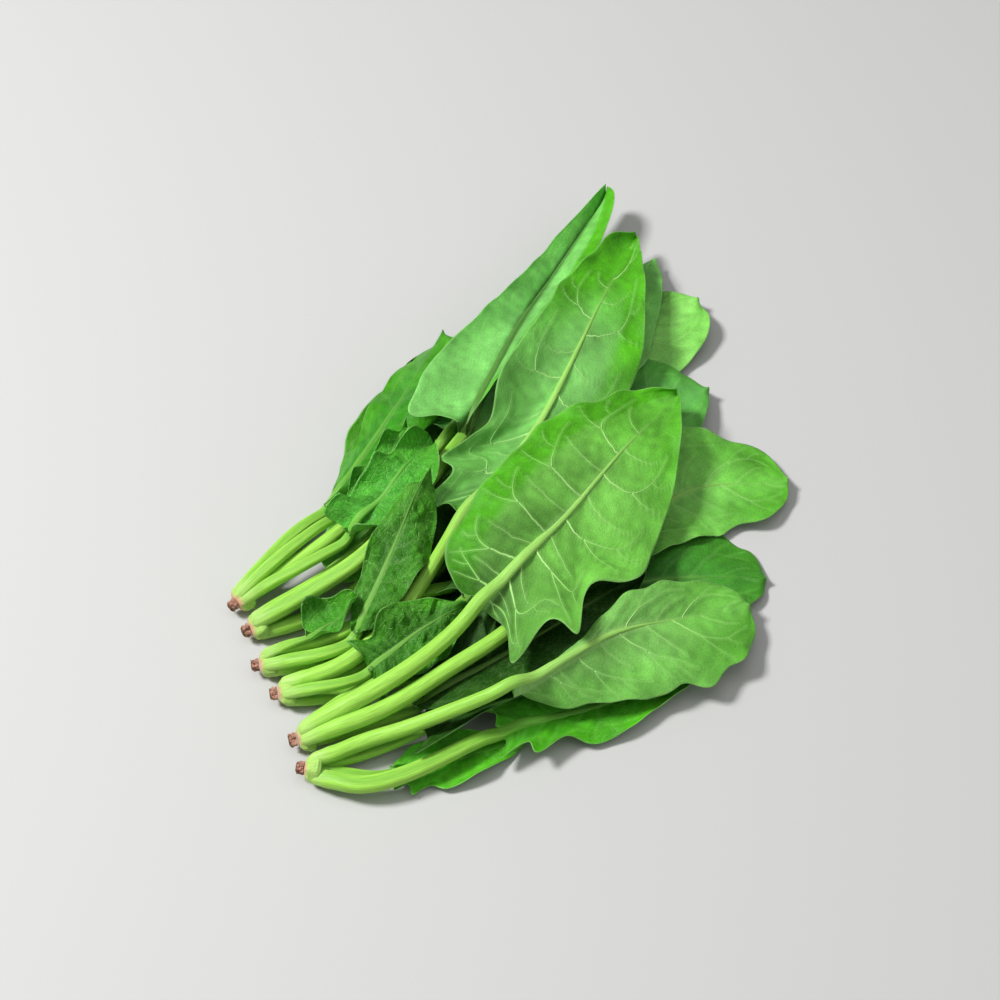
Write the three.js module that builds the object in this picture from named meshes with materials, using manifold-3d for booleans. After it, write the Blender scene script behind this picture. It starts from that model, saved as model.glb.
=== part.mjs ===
// A bunch of spinach lying on a table, as three.js meshes in millimetres, +Z up.
//
// Six plants lie side by side. Each plant grew as one piece: a collar, the stalks that rise from it, and
// the blade that each stalk runs into as its midrib. They are fused in one node, and the pink stub of the
// cut root behind the collar is a node of its own. The leaves are laid down one after another, and each one
// drapes over the heap that is already there, so no two plants cross.
//
// The bunch points along +X, from the roots to the leaf tips, and the origin is the centre of its box on
// the table.
import * as THREE from "three";
import Module from "manifold-3d";

const wasm = await Module();
wasm.setup();

// ---- Driving dimensions, in millimetres ----
const BLADE_THICKNESS = 0.8;
const CLEARANCE = 1; // air between a leaf and what it lies on
const TIP_RADIUS = 0.5; // of the midrib where it runs out
const FOOT_SHARE = 0.72; // of the stalk's radius, at the foot of the blade
const SINK = 0.35; // of its radius, how far the middle of the midrib lies off the blade, on the underside
const ROOTED = 4; // how deep a stalk starts in its collar
const GATHERED = 0.78; // there, its radius and its distance from the axis, as shares of the full ones
const GROWN = 13; // along a stalk, where it has its full radius
const LEAD = 5; // how far a stalk runs straight out of its collar
const BUNCHED = 27; // along a stalk, up to where it may run into its own plant's other stalks
const SETTLE = 55; // along a stalk, where it comes to lie on the heap
const AXIS_HEIGHT = 6.3; // of the collars and roots
const WIDER = 1.08; // how much a collar or root is wider than high
// Half sections: distance behind the collar's face, and radius.
const COLLAR = [[5.4, 2.5], [4.8, 3.7], [3.2, 5], [0, 5.7], [-1.5, 4.8]];
const ROOT = [[9, 1.1], [8.6, 1.7], [7.8, 2], [6.6, 2.1], [5.7, 2.2]];

// ---- Fineness of the meshes and of the heap's height map ----
const ROUND_SIDES = 10;
const STALK_SIDES = 6;
const STALK_STEP = 13; // between the rings of a stalk
const TRACK_STEPS = 60; // between two points of a leaf's plan curve
const COURSE_STEP = 3; // between the heights of a midrib's course
const COURSE_PASSES = 45; // of the smoothing of those heights
const CELL = 0.6; // of the height map
const HEAP_SIZE = [400, 340];
const SOFT_REACH = 8; // of the blur that evens out the heap
const SAMPLE_STEP = 0.55;
const FINEST = 0.01; // details smaller than this are dropped from a fused plant

// Half outlines of a blade, from its foot to its tip. Each point is a share of the blade's length along the
// midrib and a share of its half width out from it. All have the same number of points.
const FORMS = {
  oval: [[0, 0.04], [0.02, 0.25], [0.08, 0.5], [0.17, 0.74], [0.28, 0.92], [0.4, 1],
    [0.52, 0.98], [0.64, 0.88], [0.76, 0.7], [0.87, 0.46], [0.95, 0.24], [1, 0.02]],
  spoon: [[0, 0.04], [0.05, 0.14], [0.12, 0.34], [0.21, 0.57], [0.32, 0.77], [0.44, 0.91],
    [0.57, 0.99], [0.7, 1], [0.82, 0.91], [0.92, 0.7], [0.98, 0.38], [1, 0.03]],
  arrow: [[0, 0.04], [-0.01, 0.4], [-0.07, 0.86], [0.07, 0.72], [0.16, 0.7], [0.27, 0.84],
    [0.4, 0.9], [0.53, 0.84], [0.66, 0.7], [0.79, 0.5], [0.91, 0.25], [1, 0.02]],
  lobed: [[0, 0.04], [0, 0.36], [-0.07, 0.74], [0.08, 0.64], [0.1, 1], [0.25, 0.78],
    [0.36, 0.98], [0.52, 0.87], [0.66, 0.72], [0.79, 0.5], [0.91, 0.25], [1, 0.02]],
  round: [[0, 0.04], [-0.01, 0.3], [0.02, 0.6], [0.07, 0.8], [0.17, 0.86], [0.28, 0.95],
    [0.4, 1], [0.53, 0.96], [0.66, 0.87], [0.79, 0.71], [0.92, 0.45], [1, 0.02]],
  blunt: [[0, 0.04], [0, 0.36], [-0.07, 0.74], [0.08, 0.64], [0.1, 1], [0.25, 0.78],
    [0.36, 0.98], [0.52, 0.92], [0.66, 0.86], [0.8, 0.74], [0.93, 0.52], [1, 0.02]],
  late: [[0, 0.04], [0.08, 0.06], [0.17, 0.1], [0.27, 0.2], [0.37, 0.38], [0.47, 0.6],
    [0.57, 0.8], [0.68, 0.95], [0.79, 1], [0.9, 0.82], [0.97, 0.45], [1, 0.03]],
  wing: [[0, 0.04], [-0.02, 0.45], [-0.05, 0.85], [0.06, 0.95], [0.17, 1], [0.3, 0.82],
    [0.42, 0.58], [0.54, 0.38], [0.66, 0.32], [0.79, 0.26], [0.91, 0.14], [1, 0.02]],
};
const ROWS = FORMS.oval.length - 1;
// A blade's columns, from the right edge to the left one, as shares of its half width. The two beside the
// middle are the sides of the midrib, as shares of the midrib's radius.
const COLUMNS = [
  { side: -1, share: 1 },
  { side: -1, share: 0.5 },
  { side: -1, rib: 1 },
  { side: 0, share: 0 },
  { side: 1, rib: 1 },
  { side: 1, share: 0.5 },
  { side: 1, share: 1 },
];
const MIDDLE = 3;

// The plants: where the collar's face is and the way it points, in degrees from +X.
const PLANTS = {
  1: { at: [-104, 40.6], heading: 0 },
  2: { at: [-107.4, 25.1], heading: -15 },
  3: { at: [-114.9, 7.5], heading: -30 },
  4: { at: [-117.1, -8.2], heading: -30 },
  5: { at: [-123.6, -29.5], heading: -25 },
  6: { at: [-130.2, -43.4], heading: -45 },
};

// The leaves, in the order in which they are laid down.
// under: whether the underside, with its raised ribs, looks up.
// radius: of the stalk where it leaves the collar.
// slot: where the stalk rises from the collar, to the left of its middle and over the table.
// stalk: the plan points that it passes.
// base, middle, tip: the foot of the blade, a point halfway along its midrib, and its end.
// width: the half widths, left and right of the midrib. form: their outlines, left and right.
// rise: how far the foot, middle and tip are lifted off the heap.
// cup, fold, roll: how far the edges stand up, both in a curve, both in a V, and the left against the right.
// wave, waves, phase: the ruffle of the edges, its height, its count along the blade, and its start.
const LEAVES = [
  // Far side, flat on the table: carries the small curled leaves.
  {
    plant: 1, under: false, radius: 3.3, slot: [3.4, 3.6],
    stalk: [[-86, 48]],
    base: [-41, 56], middle: [-6, 72], tip: [35, 91], width: [14, 24], form: ["oval", "oval"],
    rise: [0, 1, 2], cup: 2, wave: 3,
  },
  // Near side, flat on the table, under the stalks.
  {
    plant: 4, under: false, radius: 3.3, slot: [-3, 3.6],
    stalk: [[-101, -22], [-82, -29]],
    base: [-64, -38], middle: [-26, -50], tip: [17, -61], width: [26, 28], form: ["arrow", "oval"],
    rise: [0, 1, 2], cup: 2, wave: 3,
  },
  // Small ruffled leaf at the near edge.
  {
    plant: 6, under: false, radius: 3, slot: [1, 3.5],
    stalk: [[-116, -58]],
    base: [-107, -61], middle: [-83, -73], tip: [-58, -85], width: [10, 14], form: ["oval", "lobed"],
    rise: [0, 1, 2], cup: 1, wave: 1.5, phase: 0.3,
  },
  // Nearest leaf: its thick pale stalk bows out of the bunch.
  {
    plant: 6, under: false, radius: 4, slot: [-3.2, 4.2],
    stalk: [[-126, -60], [-113, -67], [-93, -72.5]],
    base: [-64.5, -77], middle: [-19, -95], tip: [28, -108], width: [20, 16], form: ["lobed", "lobed"],
    rise: [1, 3, 4], cup: 3, wave: 3,
  },
  // Low in the fan, under the big leaves.
  {
    plant: 2, under: true, radius: 3.4, slot: [3, 3.6],
    stalk: [[-90, 26]],
    base: [-72, 27], middle: [8, 46], tip: [90, 64], width: [26, 28], form: ["oval", "oval"],
    rise: [0, 2, 6], cup: 3, wave: 3,
  },
  // Low in the fan: its round tip shows beyond the others.
  {
    plant: 2, under: true, radius: 3.4, slot: [-3, 3.6],
    stalk: [[-88, 14], [-45, 13]],
    base: [28, 33], middle: [99, 40], tip: [150, 37], width: [22, 28], form: ["spoon", "spoon"],
    rise: [1, 4, 9], cup: -2, wave: 2,
  },
  // Low in the fan, dark, between the big leaves.
  {
    plant: 3, under: false, radius: 3.4, slot: [3.2, 3.6],
    stalk: [[-98, 1]],
    base: [-74, 0], middle: [4, -5], tip: [82, -17], width: [28, 32], form: ["oval", "oval"],
    rise: [1, 3, 6], cup: 3, wave: 3,
  },
  // Low in the fan: its dark tip shows at the right.
  {
    plant: 4, under: false, radius: 3.4, slot: [3, 3.6],
    stalk: [[-99, -15], [-60, -21]],
    base: [-16, -44], middle: [34, -64], tip: [69, -92], width: [25, 19], form: ["spoon", "spoon"],
    rise: [1, 3, 5], cup: -3, wave: 3,
  },
  // Narrow, between the two lowest near leaves.
  {
    plant: 6, under: false, radius: 2.8, slot: [3.4, 3.6],
    stalk: [[-113, -49]],
    base: [-88, -57], middle: [-28, -65], tip: [31, -79], width: [16, 16], form: ["oval", "arrow"],
    rise: [0, 2, 4], cup: 3, wave: 3,
  },
  // Low, fills the gap beside the broad near leaf.
  {
    plant: 5, under: false, radius: 3.5, slot: [-1, 3.6],
    stalk: [[-106, -38]],
    base: [-84, -46], middle: [-28, -57], tip: [28, -61], width: [20, 22], form: ["oval", "oval"],
    rise: [1, 2, 3], cup: 3, wave: 3,
  },
  // Far side: leans out past the folded leaf.
  {
    plant: 1, under: true, radius: 3.4, slot: [-1, 3.6],
    stalk: [[-85, 37], [-55, 36]],
    base: [9, 46], middle: [46, 69], tip: [98, 95], width: [17, 16], form: ["arrow", "lobed"],
    rise: [3, 6, 8], cup: 2, wave: 3,
  },
  // Right side, pale, its ruffled edge shows.
  {
    plant: 3, under: true, radius: 3.3, slot: [-3.2, 3.6],
    stalk: [[-99, -7], [-60, -5]],
    base: [18, 1], middle: [75, 1], tip: [118, -4], width: [34, 30], form: ["spoon", "oval"],
    rise: [2, 5, 8], cup: -3, wave: 2,
  },
  // Narrow dark strip beside the long far leaf.
  {
    plant: 2, under: false, radius: 3.3, slot: [3, 9.8],
    stalk: [[-86, 25], [-50, 24]],
    base: [12, 35], middle: [80, 44], tip: [151, 67], width: [24, 28], form: ["oval", "oval"],
    rise: [2, 6, 8], cup: -2, wave: 2,
  },
  // Broad near leaf with a long curved stalk.
  {
    plant: 6, under: true, radius: 3.6, slot: [3, 9.4],
    stalk: [[-113, -45.5], [-100.7, -53], [-80, -64]],
    base: [-56, -74], middle: [0, -79], tip: [52, -99], width: [16, 31], form: ["late", "spoon"],
    rise: [3, 7, 8], cup: -2, wave: 1.5,
  },
  // Far side: folded back along its midrib.
  {
    plant: 1, under: false, radius: 3.4, slot: [3, 9.6],
    stalk: [[-90, 46], [-74, 51]],
    base: [-54, 52], middle: [-2, 70], tip: [45, 94], width: [14, 20], form: ["spoon", "spoon"],
    rise: [2, 6, 6], cup: -3, fold: -4, wave: 3,
  },
  // Small curled leaf on the far stalks.
  {
    plant: 1, under: false, radius: 2.9, slot: [0, 10.2],
    stalk: [[-86, 41]],
    base: [-50, 43], middle: [-28, 47], tip: [-6, 55], width: [7, 15], form: ["oval", "arrow"],
    rise: [3, 5, 4], cup: 4, wave: 5, waves: 3,
  },
  // The longest leaf, folded into a narrow V at the far edge.
  {
    plant: 2, under: false, radius: 3.9, slot: [-0.5, 10.3],
    stalk: [[-84, 19.5], [-57, 15]],
    base: [10, 37], middle: [92, 82], tip: [157, 109], width: [25, 14], form: ["wing", "spoon"],
    rise: [6, 8, 12], fold: 8, wave: 1.5,
  },
  // Small curled leaf beside it.
  {
    plant: 1, under: false, radius: 2.9, slot: [-3.4, 9.4],
    stalk: [[-84, 32]],
    base: [-59, 28], middle: [-33, 32], tip: [-2, 45], width: [14, 17], form: ["arrow", "oval"],
    rise: [3, 5, 4], cup: 5, wave: 5, waves: 3, phase: 0.4,
  },
  // Fills the dark gap in the middle of the heap.
  {
    plant: 3, under: false, radius: 3.4, slot: [3, 9.8],
    stalk: [[-97, -2], [-68, -7]],
    base: [-36, -14], middle: [-1, -8], tip: [33, 0], width: [16, 20], form: ["arrow", "arrow"],
    rise: [2, 3, 2], cup: 3, wave: 3,
  },
  // Narrow, under the left edge of the top leaf.
  {
    plant: 5, under: false, radius: 3.2, slot: [4.4, 8],
    stalk: [[-107, -25], [-93, -29.5]],
    base: [-41, -27], middle: [4, -18], tip: [55, -8], width: [12, 22], form: ["arrow", "arrow"],
    rise: [1, 3, 3], cup: 2, wave: 3,
  },
  // Second from the top: long, with small lobes at its foot.
  {
    plant: 4, under: true, radius: 3.8, slot: [2.8, 9.8],
    stalk: [[-107, -13], [-83, -17], [-59, -14]],
    base: [-20, 1], middle: [43, 21], tip: [150, 80], width: [23, 33], form: ["blunt", "arrow"],
    rise: [4, 8, 10], cup: 3, wave: 2,
  },
  // Narrow quilted leaf that stands among the stalks.
  {
    plant: 3, under: false, radius: 3.3, slot: [-3.2, 9.4],
    stalk: [[-105, -5.5], [-94, -9.5]],
    base: [-86, -10], middle: [-54, 5], tip: [-20, 21], width: [10, 15], form: ["oval", "oval"],
    rise: [3, 8, 8], cup: -2, fold: -4, roll: 3, wave: 1.5,
  },
  // Tiny leaf close to the collars.
  {
    plant: 3, under: false, radius: 1.7, slot: [0.5, 11],
    stalk: [],
    base: [-101, 0.5], middle: [-89, 0.5], tip: [-75, 1], width: [14, 5], form: ["oval", "oval"],
    rise: [3, 4, 3], cup: 3, wave: 2.5, waves: 2.5,
  },
  // Short quilted leaf curled over the stalks.
  {
    plant: 4, under: false, radius: 2.9, slot: [-3.2, 9.4],
    stalk: [[-105.3, -22]],
    base: [-90, -25], middle: [-68, -27], tip: [-43, -32], width: [13, 17], form: ["arrow", "arrow"],
    rise: [3, 6, 7], cup: -2, fold: -3, wave: 2, waves: 2.5,
  },
  // Right side: light green, with a round tip.
  {
    plant: 5, under: true, radius: 3.8, slot: [-3.8, 9.8],
    stalk: [[-110, -41], [-96, -45], [-66, -48], [-40, -51]],
    base: [8, -45], middle: [73, -40], tip: [110, -63], width: [27, 22], form: ["spoon", "spoon"],
    rise: [2, 5, 6], cup: -2, wave: 2,
  },
  // The top leaf, the broadest, with two lobes on its right.
  {
    plant: 5, under: true, radius: 4.1, slot: [0.5, 12],
    stalk: [[-105, -35.5], [-81, -40]],
    base: [-43, -38], middle: [19, -25], tip: [96, -6], width: [34, 40], form: ["round", "lobed"],
    rise: [3, 7, 8], cup: 3, wave: 2,
  },
];
const LEAF_DEFAULTS = { cup: 0, fold: 0, roll: 0, wave: 0, waves: 2, phase: 0, follow: 0.8 };

// ---- The heap: a height map of everything laid so far, and one for each plant ----
class Heap {
  constructor() {
    this.columns = Math.round(HEAP_SIZE[0] / CELL);
    this.rows = Math.round(HEAP_SIZE[1] / CELL);
    const bare = () => new Float32Array(this.columns * this.rows);
    this.top = bare();
    this.soft = this.top;
    this.plants = Object.fromEntries(Object.keys(PLANTS).map((number) => [number, bare()]));
  }

  // The column and row of a point, with fractions.
  place(x, y) {
    return [(x + HEAP_SIZE[0] / 2) / CELL - 0.5, (y + HEAP_SIZE[1] / 2) / CELL - 0.5];
  }

  // The greatest height in the four cells around a point, 0 on the bare table. One plant may be left out.
  height(x, y, without) {
    const [column, row] = this.place(x, y);
    const i = Math.floor(row) * this.columns + Math.floor(column);
    const next = i + this.columns;
    const most = (map) => Math.max(map[i], map[i + 1], map[next], map[next + 1]);
    if (without === undefined) return most(this.top);
    const others = Object.keys(this.plants).filter((number) => Number(number) !== without);
    return Math.max(...others.map((number) => most(this.plants[number])));
  }

  // The height with its bumps and steps evened out.
  softHeight(x, y) {
    const [column, row] = this.place(x, y);
    return this.soft[Math.round(row) * this.columns + Math.round(column)];
  }

  // Adds a finished piece of a plant: each of its triangles that looks up raises the cells under it.
  cover(solid, plant) {
    const own = this.plants[plant];
    const { vertProperties, triVerts, numProp } = solid.getMesh();
    const corner = (i) => vertProperties.subarray(i * numProp, i * numProp + 3);
    for (let i = 0; i < triVerts.length; i += 3) {
      const [a, b, c] = [corner(triVerts[i]), corner(triVerts[i + 1]), corner(triVerts[i + 2])];
      if ((b[0] - a[0]) * (c[1] - a[1]) <= (b[1] - a[1]) * (c[0] - a[0])) continue;
      sampleTriangle(a, b, c, (x, y, z) => {
        const [column, row] = this.place(x, y);
        const cell = Math.round(row) * this.columns + Math.round(column);
        this.top[cell] = Math.max(this.top[cell], z);
        own[cell] = Math.max(own[cell], z);
      });
    }
    const reach = Math.round(SOFT_REACH / CELL);
    this.soft = this.top;
    for (let pass = 0; pass < 2; pass++) {
      this.soft = blurred(this.soft, this.rows, this.columns, this.columns, 1, reach);
      this.soft = blurred(this.soft, this.columns, 1, this.rows, this.columns, reach);
    }
  }
}

// The moving average along each line of a grid. Lines are apart by lineStride, and the cells of a line by
// stride.
function blurred(values, lines, lineStride, length, stride, reach) {
  const out = new Float32Array(values.length);
  for (let line = 0; line < lines; line++) {
    let sum = 0;
    for (let i = -reach; i < length; i++) {
      const [ahead, behind] = [i + reach, i - reach - 1];
      if (ahead < length) sum += values[line * lineStride + ahead * stride];
      if (behind >= 0) sum -= values[line * lineStride + behind * stride];
      if (i >= 0) out[line * lineStride + i * stride] = sum / (2 * reach + 1);
    }
  }
  return out;
}

// Calls visit with points spread over a triangle, closer than SAMPLE_STEP.
function sampleTriangle(a, b, c, visit) {
  const longest = Math.max(distance(a, b), distance(b, c), distance(c, a));
  const n = Math.max(1, Math.ceil(longest / SAMPLE_STEP));
  for (let i = 0; i <= n; i++)
    for (let j = 0; j <= n - i; j++) {
      const [u, v, w] = [i / n, j / n, (n - i - j) / n];
      const inside = (axis) => u * a[axis] + v * b[axis] + w * c[axis];
      visit(inside(0), inside(1), inside(2));
    }
}

// The distance of two points in plan.
function distance(a, b) {
  return Math.hypot(a[0] - b[0], a[1] - b[1]);
}

function mix(a, b, share) {
  return a + (b - a) * share;
}

// ---- A leaf's plan ----
// The curve of its stalk and midrib, as seen from above.
class Track {
  constructor(points) {
    const corners = points.map(([x, y]) => new THREE.Vector3(x, y, 0));
    const spline = new THREE.CatmullRomCurve3(corners, false, "centripetal");
    this.points = spline.getPoints(TRACK_STEPS * (points.length - 1));
    this.marks = [0];
    for (let i = 1; i < this.points.length; i++)
      this.marks.push(this.marks[i - 1] + this.points[i].distanceTo(this.points[i - 1]));
    this.foot = this.marks[TRACK_STEPS * (points.length - 3)];
    this.length = this.marks.at(-1);
    this.blade = this.length - this.foot;
  }

  // The point at a distance along the curve, and the unit vector to its left. Past its ends the curve goes
  // on straight.
  at(along) {
    const next = this.marks.findIndex((mark) => mark > along);
    const i = Math.max(1, next < 0 ? this.marks.length - 1 : next);
    const [p, q] = [this.points[i - 1], this.points[i]];
    const length = p.distanceTo(q);
    const share = (along - this.marks[i - 1]) / length;
    const left = [-(q.y - p.y) / length, (q.x - p.x) / length];
    return { x: mix(p.x, q.x, share), y: mix(p.y, q.y, share), left };
  }
}

function slotOf(leaf) {
  const plant = PLANTS[leaf.plant];
  const turn = THREE.MathUtils.degToRad(plant.heading);
  const [across, height] = leaf.slot;
  const place = (far, share) => [
    plant.at[0] - Math.sin(turn) * across * share + Math.cos(turn) * far,
    plant.at[1] + Math.cos(turn) * across * share + Math.sin(turn) * far,
  ];
  const low = mix(AXIS_HEIGHT, height, GATHERED);
  return { start: place(-ROOTED, GATHERED), lead: place(LEAD, 1), low, height };
}

function trackOf(leaf) {
  const { start, lead } = slotOf(leaf);
  return new Track([start, lead, ...leaf.stalk, leaf.base, leaf.middle, leaf.tip]);
}

// The radius of the stalk and midrib at a distance along the track.
function radiusOf(leaf, track, along) {
  const foot = leaf.radius * FOOT_SHARE;
  const grown = mix(GATHERED, 1, Math.min(1, along / GROWN));
  if (along < track.foot) return grown * mix(leaf.radius, foot, along / track.foot);
  return mix(foot, TIP_RADIUS, (along - track.foot) / track.blade);
}

// The blade's grid, row by row: each point's place in plan, its column, its share of the half width and the
// radius that the midrib has in its row.
function bladePlan(leaf, track) {
  const grid = [];
  for (let k = 0; k <= ROWS; k++) {
    const along = track.foot + (track.blade * k) / ROWS;
    const rib = track.at(along);
    const radius = radiusOf(leaf, track, along);
    for (const column of COLUMNS) {
      const half = column.side < 0 ? 1 : 0;
      const [far, out] = FORMS[leaf.form[half]][k];
      const edge = track.at(track.foot + track.blade * far);
      const reach = column.side * out * leaf.width[half];
      const [ex, ey] = [edge.x + edge.left[0] * reach, edge.y + edge.left[1] * reach];
      const ray = Math.hypot(ex - rib.x, ey - rib.y);
      const share = column.rib ? Math.min(0.3, radius / ray) : column.share;
      const [x, y] = [mix(rib.x, ex, share), mix(rib.y, ey, share)];
      grid.push({ x, y, row: k, side: column.side, share, radius });
    }
  }
  return grid;
}

// How high a point of the blade stands over the midrib, by the blade's own form.
function ownHeight(leaf, { row, side, share }) {
  const turns = (leaf.waves * row) / ROWS + leaf.phase + (side > 0 ? 0.1 : 0.55);
  const ruffle = leaf.wave * Math.sin(2 * Math.PI * turns);
  return (leaf.cup + ruffle) * share ** 2 + leaf.fold * share + leaf.roll * side * share;
}

// How far the midrib's ridge reaches from the middle of the blade, on its underside.
function ridgeOf(radius) {
  return (1 + SINK) * radius;
}

// ---- Laying a leaf on the heap ----
// The heights of the midrib along the track, before anything is lifted clear.
function courseOf(heap, leaf, track) {
  const { low, height } = slotOf(leaf);
  const count = Math.ceil(track.length / COURSE_STEP);
  let course = [];
  for (let i = 0; i <= count; i++) {
    const along = (track.length * i) / count;
    const p = track.at(along);
    const share = (along - track.foot) / track.blade;
    const [foot, middle, tip] = leaf.rise;
    const nearFoot = mix(foot, middle, Math.max(0, share) * 2);
    const rise = share < 0.5 ? nearFoot : mix(middle, tip, share * 2 - 1);
    const reached = Math.min(1, along / track.foot);
    const lying = heap.softHeight(p.x, p.y) + radiusOf(leaf, track, along) + rise * reached;
    const rooted = mix(low, height, Math.min(1, along / (ROOTED + LEAD)));
    course.push(mix(rooted, lying, THREE.MathUtils.smoothstep(along, BUNCHED * 0.6, SETTLE)));
  }
  for (let pass = 0; pass < COURSE_PASSES; pass++)
    course = course.map((own, i) => {
      if (i < 3) return own;
      const [before, after] = [course[i - 1], course[Math.min(count, i + 1)]];
      return (before + 2 * own + after) / 4;
    });
  return (along) => {
    const at = (Math.min(track.length, Math.max(0, along)) / track.length) * count;
    const i = Math.min(count - 1, Math.floor(at));
    return mix(course[i], course[i + 1], at - i);
  };
}

// How much a round stalk falls short of clearing the heap over a stretch of its track. heightAt gives its
// middle, and without is a plant that it need not clear.
function shortfall(heap, leaf, track, from, to, heightAt, without) {
  let most = -Infinity;
  const steps = Math.ceil((to - from) / SAMPLE_STEP);
  for (let i = 0; i <= steps; i++) {
    const along = mix(from, to, i / steps);
    const p = track.at(along);
    const radius = radiusOf(leaf, track, along);
    for (let side = -1; side <= 1; side += 0.2) {
      const [x, y] = [p.x + p.left[0] * side * radius, p.y + p.left[1] * side * radius];
      const top = heap.height(x, y, without);
      const floor = top > 0 ? top + CLEARANCE : 0;
      most = Math.max(most, floor - heightAt(along) + radius * Math.sqrt(1 - side ** 2));
    }
  }
  return most;
}

// The lifts that meet every need and fade out smoothly around it.
function easedLifts(needs, neighbours) {
  let lifts = needs.map((need) => Math.max(0, need));
  for (let pass = 0; pass < 14; pass++)
    lifts = lifts.map((own, i) => {
      const around = neighbours[i].reduce((sum, k) => sum + lifts[k], 0) / neighbours[i].length;
      return Math.max(own, 0.93 * around);
    });
  return lifts;
}

// Finds the heights of a leaf's stalk rings and blade points over the heap.
function layLeaf(heap, leaf) {
  const track = trackOf(leaf);
  const grid = bladePlan(leaf, track);
  const course = courseOf(heap, leaf, track);
  const width = COLUMNS.length;
  const stretch = Math.round((track.foot + ROOTED) / STALK_STEP);
  const ringAt = (i) => (track.foot * i) / stretch;
  const rib = (k) => track.foot + (track.blade * k) / ROWS;

  const natural = grid.map((point) => {
    const middle = track.at(rib(point.row));
    const slope = heap.softHeight(point.x, point.y) - heap.softHeight(middle.x, middle.y);
    return course(rib(point.row)) + leaf.follow * slope + ownHeight(leaf, point);
  });
  const needs = natural.map(() => 0);
  const below = grid.map((point, i) => {
    const ridge = !leaf.under && point.side === 0;
    return natural[i] - (ridge ? ridgeOf(point.radius) : BLADE_THICKNESS * 0.65);
  });
  for (const face of gridFaces(ROWS, width - 1)) {
    const [a, b, c] = face.map((i) => [grid[i].x, grid[i].y, below[i]]);
    let most = 0;
    sampleTriangle(a, b, c, (x, y, z) => {
      const top = heap.height(x, y);
      if (top > 0) most = Math.max(most, top + CLEARANCE - z);
    });
    for (const i of face) needs[i] = Math.max(needs[i], most);
  }

  // The stalk's rings come before the blade's points in the list of lifts.
  const ringNeeds = new Array(stretch).fill(0);
  for (let i = 0; i < stretch; i++) {
    const [from, to] = [ringAt(i), ringAt(i + 1)];
    let short = shortfall(heap, leaf, track, from, Math.min(to, BUNCHED), course, leaf.plant);
    if (to > BUNCHED) short = Math.max(short, shortfall(heap, leaf, track, Math.max(BUNCHED, from), to, course));
    ringNeeds[i] = Math.max(ringNeeds[i], short);
    if (i + 1 < stretch) ringNeeds[i + 1] = Math.max(0, short);
    else needs[MIDDLE] = Math.max(needs[MIDDLE], short);
  }
  const neighbours = [];
  for (let i = 0; i < stretch; i++) {
    const next = i + 1 < stretch ? i + 1 : stretch + MIDDLE;
    neighbours.push([Math.max(0, i - 1), next]);
  }
  grid.forEach((point, i) => {
    const [k, j] = [point.row, i % width];
    const near = [[k - 1, j], [k + 1, j], [k, j - 1], [k, j + 1]]
      .filter(([row, column]) => row >= 0 && row <= ROWS && column >= 0 && column < width)
      .map(([row, column]) => stretch + row * width + column);
    if (i === MIDDLE) near.push(stretch - 1);
    neighbours.push(near);
  });
  ringNeeds[0] = 0;
  const lifts = easedLifts([...ringNeeds, ...needs], neighbours);
  const heights = natural.map((z, i) => Math.max(BLADE_THICKNESS / 2, z + lifts[stretch + i]));
  const stalk = ringNeeds.map((_, i) => course(ringAt(i)) + (i > 0 ? lifts[i] : 0));
  return { track, grid, heights, stalk, ringAt, rib };
}

// ---- Solids ----
// The two triangles of each cell of a grid, clockwise from above.
function gridFaces(rows, columns) {
  const faces = [];
  for (let k = 0; k < rows; k++)
    for (let j = 0; j < columns; j++) {
      const a = k * (columns + 1) + j;
      const [b, c, d] = [a + 1, a + columns + 1, a + columns + 2];
      faces.push([a, b, d], [a, d, c]);
    }
  return faces;
}

function solidOf({ points, faces }) {
  const vertProperties = new Float32Array(points.flat());
  const triVerts = new Uint32Array(faces.flat());
  const made = new wasm.Manifold(new wasm.Mesh({ numProp: 3, vertProperties, triVerts }));
  if (made.volume() <= 0) throw new Error("a solid is inside out");
  return made;
}

// A thin sheet with the same triangles on both faces and a wall round its edge. On the underside its middle
// column stands out as the midrib's ridge.
function bladeShape(leaf, { grid, heights }) {
  const width = COLUMNS.length;
  const count = grid.length;
  const faces = gridFaces(ROWS, width - 1);
  const middle = grid.map((point, i) => new THREE.Vector3(point.x, point.y, heights[i]));
  const slopes = middle.map(() => new THREE.Vector3());
  for (const face of faces) {
    const [a, b, c] = face.map((i) => middle[i]);
    const normal = b.clone().sub(a).cross(c.clone().sub(a));
    for (const i of face) slopes[i].add(normal);
  }
  const upright = slopes.map((normal) => Math.max(0.45, Math.abs(normal.normalize().z)));
  const half = upright.map((share) => BLADE_THICKNESS / 2 / share);
  const ridge = (i) => (grid[i].side === 0 ? Math.max(half[i], ridgeOf(grid[i].radius)) : half[i]);
  const reach = (i, under) => (under ? ridge(i) : half[i]);
  const over = middle.map((p, i) => [p.x, p.y, p.z + reach(i, leaf.under)]);
  const below = middle.map((p, i) => [p.x, p.y, Math.max(0, p.z - reach(i, !leaf.under))]);
  const last = ROWS * width;
  const rim = [];
  for (let j = 0; j < width - 1; j++) rim.push([j, j + 1], [last + j + 1, last + j]);
  for (let k = 0; k < ROWS; k++) {
    const [start, next] = [k * width, (k + 1) * width];
    rim.push([next, start], [next - 1, next + width - 1]);
  }
  const walls = rim.flatMap(([a, b]) => [[a, b, b + count], [a, b + count, a + count]]);
  const lower = faces.map(([a, b, c]) => [a + count, b + count, c + count]);
  const upper = faces.map(([a, b, c]) => [a, c, b]);
  return { points: [...over, ...below], faces: [...upper, ...lower, ...walls] };
}

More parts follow.
